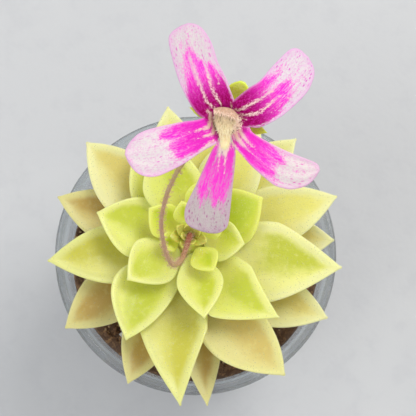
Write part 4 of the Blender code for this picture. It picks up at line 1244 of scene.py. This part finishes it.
def lobeGrid(index, label):
    # One lobe from the mouth to the tip, with its shares along and across, and its distance to the free edge
    ends, drop = (notches[index], notches[(index + 1) % 5]), lobes[label][2]
    drawn = [(start, *edge) for start, edge in zip(ends, lobes[label][:2])]
    edges = [smoothLine(line, flower["along"] + 1) for line in drawn]
    angles = [math.atan2(y - flower["mouthAt"][1], x - flower["mouthAt"][0]) for x, y in ends]
    if angles[1] < angles[0]:
        angles[1] += math.tau
    v = 0.5 - 0.5 * np.cos(np.linspace(0, math.pi, flower["across"] + 1))
    turn = angles[0] + (angles[1] - angles[0]) * v
    mouth = np.stack(mouthPoint(turn), axis=1)
    limb = edges[0][:, None] * (1 - v)[None, :, None] + edges[1][:, None] * v[None, :, None]
    shares = np.linspace(0, 1, flower["collar"], endpoint=False)
    collar = mouth[None] + (limb[0] - mouth)[None] * shares[:, None, None]
    places = np.concatenate([collar, limb])
    u = np.concatenate([flower["collarShare"] * (shares - 1), np.linspace(0, 1, flower["along"] + 1)])
    outline = np.concatenate([smoothLine(line, 300) for line in drawn])
    free = np.linalg.norm(places[:, :, None] - outline[None, None], axis=-1).min(axis=-1)
    along, across = np.broadcast_arrays(u[:, None], v[None])
    over = 2 * across - 1
    x, y = places[..., 0], places[..., 1]
    forward = limbForward(x, y, drop, np.maximum(0, along), over * (along > 0))
    body = np.clip(along * 4, 0, 1) * np.clip(free / 0.6, 0, 1)
    waves = 0.05 * np.cos(9.0 * over + index) + 0.06 * np.sin(11.0 * along + 2.3 * index + 2 * over)
    forward = forward + body * (waves - 0.09)
    half = 0.5 * np.linalg.norm(edges[0] - edges[1], axis=1)
    half = np.concatenate([np.full(flower["collar"], half[0]), half])[:, None] * np.ones_like(v)[None]
    cream, fingers, flush = petalStrokes[label]
    lines = strokeCover(x, y, cream, soft=0.55)
    deep = strokeCover(x, y, fingers, soft=1.7, width=1.1, faint=0.3)
    colour = np.maximum(deep, flower["flushShare"] * strokeCover(x, y, flush, soft=1.4))
    foot = np.clip((0.5 - along) / 0.34, 0, 1) * np.clip(free / 0.55, 0, 1)
    colour = np.maximum(colour, footShares[label] * foot)
    forward = forward + flower["lineProud"] * lines * np.clip(1.1 - 2 * along, 0.2, 1)
    marks = np.stack([lines * np.clip(1.12 - 0.9 * along, 0.5, 1), colour], axis=-1)
    return x, y, forward, along, across, free, half, marks, turn


def makePetalGroup():
    tree, given = newGroup("petal colour", {**petalTones, **labelled(petalLabels, lobePaints["left"])})
    along, across = uvParts(tree, "share")
    alongMm, free = uvParts(tree, "edge")
    half, number = uvParts(tree, "lobe")
    lines, fingers = uvParts(tree, "marks")
    sideMm = (across * 2.0 - 1.0) * half
    seed = number * 7.3

    def streaks(alongScale, acrossScale, detail=3.0):
        return cloud(combined(alongMm * alongScale, sideMm * acrossScale, seed), 1.0, detail, 0.65)

    broad, threads, fine = streaks(0.22, 1.1), streaks(0.45, 3.0), streaks(0.9, 8.0)
    mottle, stipple = streaks(2.6, 3.4), streaks(5.0, 8.0, 1.0)
    # The magenta's fingers, streaked and speckled at their edges
    reach = fingers
    for noise, share in ((threads, 0.75), (fine, 0.5), (mottle, 0.4), (stipple, 0.6)):
        reach = reach + (noise - 0.5) * share
    covered = fade(reach, 0.16, 0.62) * given["Cover"]
    paleStreak = fade(fine, 0.47, 0.68) * fade(along, 0.1, 0.45, 0.08, 0.75)
    speckle = fade(mottle, 0.5, 0.68, 0.0, 0.5) * fade(along, 0.05, 0.4)
    bright = blendTones(calc("MAXIMUM", paleStreak, speckle), given["Bright"], given["Tip"])
    deepened = fade(along, 0.44, 0.06) * given["Deep Share"]
    deepened = calc("MAXIMUM", deepened, fade(along, 0.12, -0.12) * 0.7)
    deepened = deepened * fade(stipple + mottle, 0.9, 1.15, 1.0, 0.72)
    bright = blendTones(deepened, bright, given["Deep"])
    # White beyond, tinged towards the tip and dotted
    tinge = calc("ADD", fade(free, 1.2, 0.1) * 0.4, fade(mottle, 0.46, 0.66) * 0.42, clamp=True)
    white = blendTones(tinge, given["White"], given["Tip"])
    dots = fade(spots(combined(alongMm * 1.5, sideMm * 2.6, seed), 1.0), 0.36, 0.14) * fade(broad, 0.35, 0.62)
    white = blendTones(dots * given["Dot Share"], white, given["Dot"])
    specks = fade(stipple, 0.48, 0.66, 0.0, 0.8) * given["Dot Share"] * fade(threads, 0.38, 0.6, 0.2, 0.7)
    color = blendTones(covered, blendTones(specks, white, given["Dot"]), bright)
    # Cream lines, beaded, tan where they run into the throat
    beads = (mottle - 0.5) * 1.7 + (stipple - 0.5) * 1.3
    line = fade(lines + beads, 0.36, 0.95, 0.0, 0.88)
    color = blendTones(line, color, blendTones(fade(along, 0.12, -0.2), given["Line"], given["Throat Line"]))
    rim = fade(free + mottle * 0.25, 0.5, 0.2, 0.0, 0.65) * fade(along, 0.05, 0.5, 0.5, 1.0)
    color = blendTones(rim, color, given["Tip"])
    velvet = cloud(placeInMm(tree), 7.0, 2.0, 0.6)
    height = velvet * 0.5 + threads * 0.6 + line * 0.3
    return giveOut(tree, color, fade(velvet, 0.3, 0.7, 0.5, 0.72), height)


def corollaPaints():
    group = makePetalGroup()
    fixed = {**flesh(0.12, 0.4), "Subsurface Radius": (1.0, 0.6, 0.8), "Specular IOR Level": 0.06}
    paints = []
    for name, row in lobePaints.items():
        values = labelled(petalLabels, row)
        paints.append(paintWith("petal " + name, group, values, fixed, strength=0.4, depth=0.1))
    spur = grainPaint("spur", flower["spurLook"], flesh(0.15, 0.5))
    return [*paints, spur, grainPaint("throat", flower["throatLook"])]


def makeCorolla():
    wall, thick, collarShare = flower["tubeWall"], flower["thick"], flower["collarShare"]
    mouthX, mouthY = flower["mouthAt"]
    backPaint = len(lobes)  # after the lobes' own paints come those of their backs, the spur and the throat
    points, quads, tris, quadPaints, triPaints = [], [], [], [], []
    maps = {"share": [], "edge": [], "lobe": [], "marks": []}
    mouths, turns = {"front": [], "back": []}, []
    count = 0
    for index, label in enumerate(lobes):
        x, y, forward, along, across, free, half, marks, turn = lobeGrid(index, label)
        inCollar = np.where(along < 0, -along / collarShare, 0.0)
        depth = thick + (wall - thick) * inCollar
        full = roundedEdge(free, thick / 2) * depth / 2
        grow = inCollar * wall / np.maximum(1e-6, np.hypot(x - mouthX, y - mouthY))
        front = inWorld(x, y, forward - (depth / 2 - full))
        back = inWorld(x + grow * (x - mouthX), y + grow * (y - mouthY), forward - depth / 2 - full)
        rows, cols = x.shape
        for side, grid in (("front", front), ("back", back)):
            faces = gridFaces(rows, cols) + count
            quads.append(faces if side == "front" else faces[:, ::-1])
            quadPaints.append(np.full(len(faces), index if side == "front" else backPaint))
            points.append(grid.reshape(-1, 3))
            maps["share"].append(np.stack([along, across], axis=-1).reshape(-1, 2))
            maps["edge"].append(np.stack([along * flower["lobeLength"], free], axis=-1).reshape(-1, 2))
            maps["lobe"].append(np.stack([half, np.full_like(half, index)], axis=-1).reshape(-1, 2))
            maps["marks"].append(marks.reshape(-1, 2))
            mouths[side].append(grid[0, :-1])
            count += rows * cols
        turns.append(turn[:-1])
    turns = np.concatenate(turns)
    stations = smoothLine(tube, flower["tubeRows"])
    along, side, up = pipeFrames(stations[:, :3])

    def tubeRing(k, shrink):
        ring = side[k] * np.cos(turns)[:, None] + up[k] * np.sin(turns)[:, None]
        return inWorld(*(stations[k, :3] + ring * (stations[k, 3] - shrink)).T)

    flip = side[0].dot((1, 0, 0)) * np.sign(np.cross(along[0], side[0])[1])
    turns = turns if flip > 0 else -turns
    openRows = int(flower["tubeRows"] * flower["tubeOpen"] / len(tube))
    outer = [np.concatenate(mouths["back"])] + [tubeRing(k, 0.0) for k in range(flower["tubeRows"])]
    inner = [np.concatenate(mouths["front"])] + [tubeRing(k, wall) for k in range(openRows)]
    for rings, paint, turned in ((outer, backPaint + 1, True), (inner, backPaint + 2, False)):
        rings = np.array(rings)
        shares = np.meshgrid(np.linspace(0, 1, len(rings)), np.linspace(0, 1, rings.shape[1]), indexing="ij")
        (p, q, t), flat = loft(rings, {"share": np.stack(shares, axis=-1)}, caps=(False, True))
        if turned:
            q, t = q[:, ::-1], t[:, ::-1]
        points.append(p)
        quads.append(q + count)
        tris.append(t + count)
        quadPaints.append(np.full(len(q), paint))
        triPaints.append(np.full(len(t), paint))
        for label in maps:
            maps[label].append(flat["share"])
        count += len(p)
    shape = (np.concatenate(points), np.concatenate(quads), np.concatenate(tris))
    mesh = makeMesh("Corolla", shape, {label: np.concatenate(values) for label, values in maps.items()})
    mesh.polygons.foreach_set("material_index", np.concatenate(quadPaints + triPaints).astype(np.int32))
    work = bmesh.new()
    work.from_mesh(mesh)
    bmesh.ops.remove_doubles(work, verts=work.verts, dist=0.004 * mm)
    bmesh.ops.recalc_face_normals(work, faces=work.faces)
    print("Corolla open edges:", sum(not e.is_manifold for e in work.edges))
    work.to_mesh(mesh)
    work.free()
    addPiece("Corolla", mesh, corollaPaints(), ("corolla",))


makeCorolla()
print("Corolla made")


# Palate, stigma and the hairs of the throat

palate = (  # middle (across, up) and width of the ridge, from the mouth to the lower lobe
    (-0.42, 0.95, 2.3), (-0.44, 0.1, 2.25), (-0.48, -0.7, 2.0), (-0.5, -1.6, 1.65), (-0.46, -2.5, 1.4),
    (-0.45, -3.4, 1.25), (-0.45, -4.3, 1.0),
)
throat = {
    "gap": 0.38,  # between the lobes and what lies over them at the mouth
    "palateHairs": 620,
    "palateHair": (0.6, 1.2),
    # The palate's first tone is darker: painted shade where the stigma hangs over its top
    "palateTones": ((178, 152, 116), (214, 194, 150), (238, 224, 178), 0.4, 0.9, 0.6),
    "hairTones": ((232, 214, 178), (246, 234, 200), (238, 224, 178), 0.4, 0.9, 0.6),
    "fringeHairs": 230,
    "fringeLook": ((250, 230, 210), (255, 244, 230), (216, 164, 156), 0.4, 0.8, 0.5, 0.1),
    "stigmaUpper": ((-2.1, 1.6), (-1.1, 1.85), (0.1, 1.75), (0.9, 1.35), (1.45, 0.65)),
    "stigmaLower": ((-2.1, 1.25), (-1.1, 0.95), (0.0, 0.55), (0.8, 0.22), (1.45, 0.2)),
    "stigmaThick": 0.34,
    "stigmaRounding": 0.28,
    "stigmaGrid": (17, 33),  # rows from upper to lower edge, places along them
    "stigmaLook": ((200, 164, 136), (228, 200, 170), (172, 122, 106), 0.4, 0.9, 0.7, 0.6),
    "stigmaHairs": 420,
    "stigmaHairLook": ((244, 216, 192), (254, 240, 222), (212, 160, 142), 0.4, 0.8, 0.6, 0.1),
    "seeds": {"palate": 43, "fringe": 47, "stigma": 53},
}


def spikeShape(sides, bend):
    # A plain tapered hair of length 1
    centres = np.array([(bend * z * z, 0.0, z) for z in np.linspace(0, 1, 5)])
    return loft(pipeRings(centres, (0.085, 0.075, 0.06, 0.04, 0.012), sides), caps=(False, True))[0]


def palateLow(x, y):
    sunk = np.clip((np.hypot(x + 0.3, y + 0.4) - 1.2) / 1.5, 0, 1)
    return limbForward(x, y) + throat["gap"] * (1 - 1.1 * sunk)


def palateSpot(s, v):
    at = s * (len(palate) - 1)
    middle, up, width = (np.interp(at, range(len(palate)), values) for values in zip(*palate))
    width = width * np.sqrt(np.clip(1 - (np.maximum(0.0, s - 0.84) / 0.17) ** 2, 0.02, 1))
    x = middle + 0.5 * width * (1 + 0.3 * (1 - s)) * v
    y = up - 0.15 * width * v * np.maximum(0.0, 1.0 - 3 * s)
    crest = 0.34 + 0.55 * (1 - v * v) * np.sin(math.pi * (0.2 + 0.7 * s)) + 0.06 * np.sin(14 * s + 5 * v)
    return x, y, palateLow(x, y), crest * (1 - 0.7 * s**2)


def makePalate():
    s, v = bladeGrid(40, 21)
    x, y, low, crest = palateSpot(s, v)
    half = 0.5 * np.interp(s * (len(palate) - 1), range(len(palate)), [width for _, _, width in palate])
    full = roundedEdge((1 - np.abs(v)) * half, 0.3)
    share = ringValues(gridShares(s, v))
    shape, maps = loft(closeSection(inWorld(x, y, low), inWorld(x, y, low + crest), full), {"share": share})
    values = labelled(alongLabels, throat["palateTones"])
    fixed = {**flesh(0.25, 0.4), "Specular IOR Level": 0.3}
    cream = paintWith("palate", alongGroup, values, fixed, strength=0.4, depth=0.08)
    addShape("Palate", shape, cream, "palate", "palate", maps=maps)
    chance = np.random.default_rng(throat["seeds"]["palate"])
    count = throat["palateHairs"]
    s, v = 0.02 + 0.9 * chance.uniform(0, 1, count) ** 1.5, chance.uniform(-0.95, 0.95, count)
    x, y, low, crest = palateSpot(s, v)
    places = inWorld(x, y, low + crest - 0.08)
    leanX, leanY = 0.3 * v + chance.normal(0, 0.2, count), -1.1 + chance.normal(0, 0.22, count)
    normals = inWorldWays(np.stack([leanX, leanY, np.full(count, 0.45)], axis=1))
    length = chance.uniform(*throat["palateHair"], count) * (1 - 0.6 * s)
    length = length[:, None] * np.array([0.75, 0.75, 1.0])
    hair = spikeShape(sides=4, bend=0.25)
    share = np.repeat(gridShares(s, v), len(hair[0]), axis=0)
    values = labelled(alongLabels, throat["hairTones"])
    pale = paintWith("palate hair", alongGroup, values, {"Specular IOR Level": 0.3}, strength=0.1, depth=0.02)
    letLightPast(pale, passing=0.9)
    addCopies("PalateHairs", hair, places, normals, length, chance, pale, "palate", {"share": share})


def makeStigma():
    rows, cols = throat["stigmaGrid"]
    upper, lower = smoothLine(throat["stigmaUpper"], cols), smoothLine(throat["stigmaLower"], cols)
    share = np.linspace(0, 1, rows)[:, None]
    along = np.linspace(0, 1, cols)
    ragged = 0.07 * np.sin(41 * along) + 0.05 * np.sin(67 * along + 1)
    edge = lower + np.stack([np.zeros(cols), ragged], axis=1)
    places = upper[None] * (1 - share[..., None]) + edge[None] * share[..., None]
    base = limbForward(upper[:, 0], upper[:, 1]) + throat["gap"] + 0.02
    forward = base[None] + (0.7 - base)[None] * np.sin(0.5 * math.pi * share)
    forward = forward + 0.04 * np.sin(23 * along)[None] * share
    across = np.minimum(along, 1 - along)[None] * 3.6
    free = np.minimum(across, np.minimum(share, 1 - share) * 1.2 + 0.02)
    low = inWorld(places[..., 0], places[..., 1], forward)
    high = inWorld(places[..., 0], places[..., 1], forward + throat["stigmaThick"])
    shape = loft(closeSection(low, high, roundedEdge(free, throat["stigmaRounding"])))[0]
    peach = letLightPast(grainPaint("stigma", throat["stigmaLook"], flesh(0.2, 0.4)), passing=0.6)
    addShape("Stigma", shape, peach, "stigma", "stigma")
    # Short hairs that hang over its lower edge and lie on its face
    chance = np.random.default_rng(throat["seeds"]["stigma"])
    count = throat["stigmaHairs"]
    k = chance.integers(1, cols - 1, count)
    down = chance.uniform(0.08, 1.0, count) ** 0.7
    row = (down * (rows - 1)).astype(int)
    places = 0.5 * (low[row, k] + high[row, k]) + (high[row, k] - low[row, k]) * 0.42
    leanX, leanY = 0.2 + chance.normal(0, 0.5, count), -1.1 + chance.normal(0, 0.4, count)
    normals = inWorldWays(np.stack([leanX, leanY, chance.uniform(0.1, 0.45, count)], axis=1))
    length = (chance.uniform(0.2, 0.45, count) + chance.uniform(0.1, 0.6, count) * down**4)[:, None]
    length = length * chance.uniform(0.5, 1.0, (count, 1)) ** np.array([1.0, 1.0, 0.4])
    length = length * np.array([0.95, 0.95, 1.0])
    hair = letLightPast(grainPaint("stigma hair", throat["stigmaHairLook"]), passing=0.95)
    addCopies("StigmaHairs", spikeShape(sides=4, bend=0.2), places, normals, length, chance, hair, "stigma")


def makeFringe():
    # Fine hairs on the throat's rim, most on its right side and in two tufts above
    chance = np.random.default_rng(throat["seeds"]["fringe"])
    count = throat["fringeHairs"]
    turn = chance.normal(-0.25, 0.8, count)
    tufts = chance.choice((1.15, 2.55), count) + chance.normal(0, 0.14, count)
    turn = np.where(np.arange(count) % 4 == 0, tufts, turn)
    out = chance.uniform(0.72, 1.2, count)
    x, y = mouthPoint(turn, out)
    places = inWorld(x, y, limbForward(x, y) - 0.05)
    lean = np.stack([-1.1 * np.cos(turn), -1.1 * np.sin(turn) - 0.25, np.full(count, 0.75)], axis=1)
    normals = inWorldWays(lean + chance.normal(0, 0.22, lean.shape))
    length = (chance.uniform(0.35, 1.1, count) / out)[:, None] * np.array([0.7, 0.7, 1.0])
    hair = letLightPast(grainPaint("throat hair", throat["fringeLook"]), passing=0.95)
    addCopies("ThroatHairs", spikeShape(sides=4, bend=0.2), places, normals, length, chance, hair, "corolla")


makePalate()
makeStigma()
makeFringe()
print("Throat made")


# Calyx: the green cup behind the flower with its five sepals

calyx = {
    "sepals": ((69, 5.9, 3.8), (161, 5.7, 2.0), (212, 4.4, 2.0), (300, 4.6, 2.0), (343, 5.8, 2.0)),
    "sepalGrid": (34, 17),
    "thick": 0.6,
    "rounding": 0.3,
    "path": ((0.5, -5.4), (2.3, -5.3), (3.3, -4.1), (4.4, -2.7), (5.8, -2.0)),
    "cupAt": (0.0, 0.6, -5.2),
    "cup": ((0.0, -2.1), (0.55, -2.1), (0.8, -1.6), (1.5, -1.0), (1.9, -0.1), (1.7, 0.8), (0.9, 1.4),
            (0.0, 1.5)),
    "look": ((226, 248, 84), (242, 252, 154), (190, 222, 52), 1.0, 0.6, 0.45, 0.4),
    "hairs": 52,  # on each sepal
    "hairLook": ((216, 214, 150), (238, 234, 192), (176, 150, 96), 0.5, 0.6, 0.35, 0.1),
    "seed": 59,
}


def sepalFaces(azimuth, reach, width):
    # The outer and inner face of a sepal, and how full it is towards its edges
    s, t = bladeGrid(*calyx["sepalGrid"])
    path = smoothLine(calyx["path"], len(s))
    a = math.radians(azimuth)
    half = 0.5 * width * (0.55 + 0.45 * np.sin(math.pi * np.minimum(1.0, s / 0.6) / 2))
    blunt = 0.5 if width > 3 else 1.1  # the widest sepal ends round, the others in a point
    half = half * np.maximum(0.06, 1.0 - np.maximum(0.0, (s - 0.6) / 0.4) ** 2) ** blunt
    away = path[:, :1] * reach / calyx["path"][-1][0]
    x = calyx["cupAt"][0] * (1 - s) + away * math.cos(a) - math.sin(a) * half * t
    y = calyx["cupAt"][1] * (1 - s) + away * math.sin(a) + math.cos(a) * half * t
    run = unit(np.gradient(path, axis=0))
    surfaces = []
    for thick in (calyx["thick"], 0.0):
        depth = 0.18 * half * t**2 - thick
        aside = -run[:, 1:] * depth
        forward = path[:, 1:] + run[:, :1] * depth
        surfaces.append(inWorld(x + aside * math.cos(a), y + aside * math.sin(a), forward))
    return *surfaces, roundedEdge((1 - np.abs(t)) * half, calyx["rounding"])


def makeCalyx():
    cup = lathe(easedCorners(calyx["cup"], calyx["rounding"]), 40)
    shapes = [loft(inWorld(*(cup + calyx["cupAt"]).transpose(2, 0, 1)))[0]]
    places, normals = [], []
    chance = np.random.default_rng(calyx["seed"])
    for azimuth, reach, width in calyx["sepals"]:
        low, high, full = sepalFaces(azimuth, reach, width)
        shapes.append(loft(closeSection(low, high, full))[0])
        for _ in range(calyx["hairs"]):
            i, j = chance.integers(8, low.shape[0] - 2), chance.integers(2, low.shape[1] - 2)
            outside = chance.uniform() < 0.7
            place, other = (low[i, j], high[i, j]) if outside else (high[i, j], low[i, j])
            places.append(place)
            normals.append(place - other)
    shape = merged([(p, *outward(p, q, r)) for p, q, r in shapes])
    fixed = {**flesh(0.35, 0.6), "Subsurface Radius": (0.8, 1.0, 0.2)}
    addShape("Calyx", shape, grainPaint("calyx", calyx["look"], fixed), "calyx", "calyx")
    places, normals = np.array(places), np.array(normals)
    length = chance.uniform(0.22, 0.45, (len(places), 1))
    normals = unit(normals) + chance.normal(0, 0.15, normals.shape)
    hair = grainPaint("calyx hair", calyx["hairLook"])
    addCopies("CalyxHairs", hairShape(sides=5, bend=0.15), places, normals, length, chance, hair, "calyx")


makeCalyx()
print("Calyx made")


# Stage: pale floor, soft light, camera

stage = {
    "floor": 1600.0,
    "floorLines": 9,
    "floorLook": ((206, 207, 208), (212, 213, 213), (200, 201, 203), 30.0, 0.5, 0.8, 0.05),
    "world": (tone(242, 243, 245), 0.74),  # colour and strength
    "lamps": (  # name, place, aimed at, size, power, colour
        ("Key", (190.0, 190.0, 430.0), (0.0, 0.0, 80.0), 250.0, 1.05, (1.0, 0.98, 0.95)),
        ("Fill", (-320.0, -160.0, 330.0), (0.0, 0.0, 60.0), 320.0, 0.5, (0.94, 0.97, 1.0)),
    ),
    "cameraAt": (2.423, -48.206, 374.171),
    "elevation": 80.0,
    "lens": 145.4,
    "sensor": 36.0,
    "clip": (0.01, 20.0),  # in metres
}


def makeStage():
    count = stage["floorLines"]
    steps = np.linspace(-0.5, 0.5, count) * stage["floor"]
    x, y = np.meshgrid(steps, steps, indexing="ij")
    points = np.stack([x, y, np.zeros_like(x)], axis=-1).reshape(-1, 3)
    sheet = makeMesh("Floor", (points, gridFaces(count, count), np.empty((0, 3), int)))
    sheet.materials.append(grainPaint("floor", stage["floorLook"]))
    floor = bpy.data.objects.new("Floor", sheet)
    bpy.context.scene.collection.objects.link(floor)
    world = bpy.data.worlds.new("Soft light")
    world.use_nodes = True
    fill(world.node_tree.nodes["Background"], dict(enumerate(stage["world"])))
    bpy.context.scene.world = world
    for name, at, aim, size, power, colour in stage["lamps"]:
        lamp = bpy.data.lights.new(name, "AREA")
        lamp.shape, lamp.size, lamp.energy, lamp.color = "DISK", size * mm, power, colour
        holder = bpy.data.objects.new(name, lamp)
        holder.location = np.array(at) * mm
        away = unit(np.array(at) - np.array(aim))
        holder.rotation_euler = (math.acos(away[2]), 0.0, math.atan2(away[0], -away[1]))
        bpy.context.scene.collection.objects.link(holder)
    camera = bpy.data.cameras.new("Camera")
    camera.lens, camera.sensor_width = stage["lens"], stage["sensor"]
    camera.clip_start, camera.clip_end = stage["clip"]
    holder = bpy.data.objects.new("Camera", camera)
    holder.location = np.array(stage["cameraAt"]) * mm
    holder.rotation_euler = (math.radians(90 - stage["elevation"]), 0.0, 0.0)
    bpy.context.scene.collection.objects.link(holder)
    bpy.context.scene.camera = holder
    bpy.context.scene.view_settings.view_transform = "Standard"


makeStage()
print("Stage made")
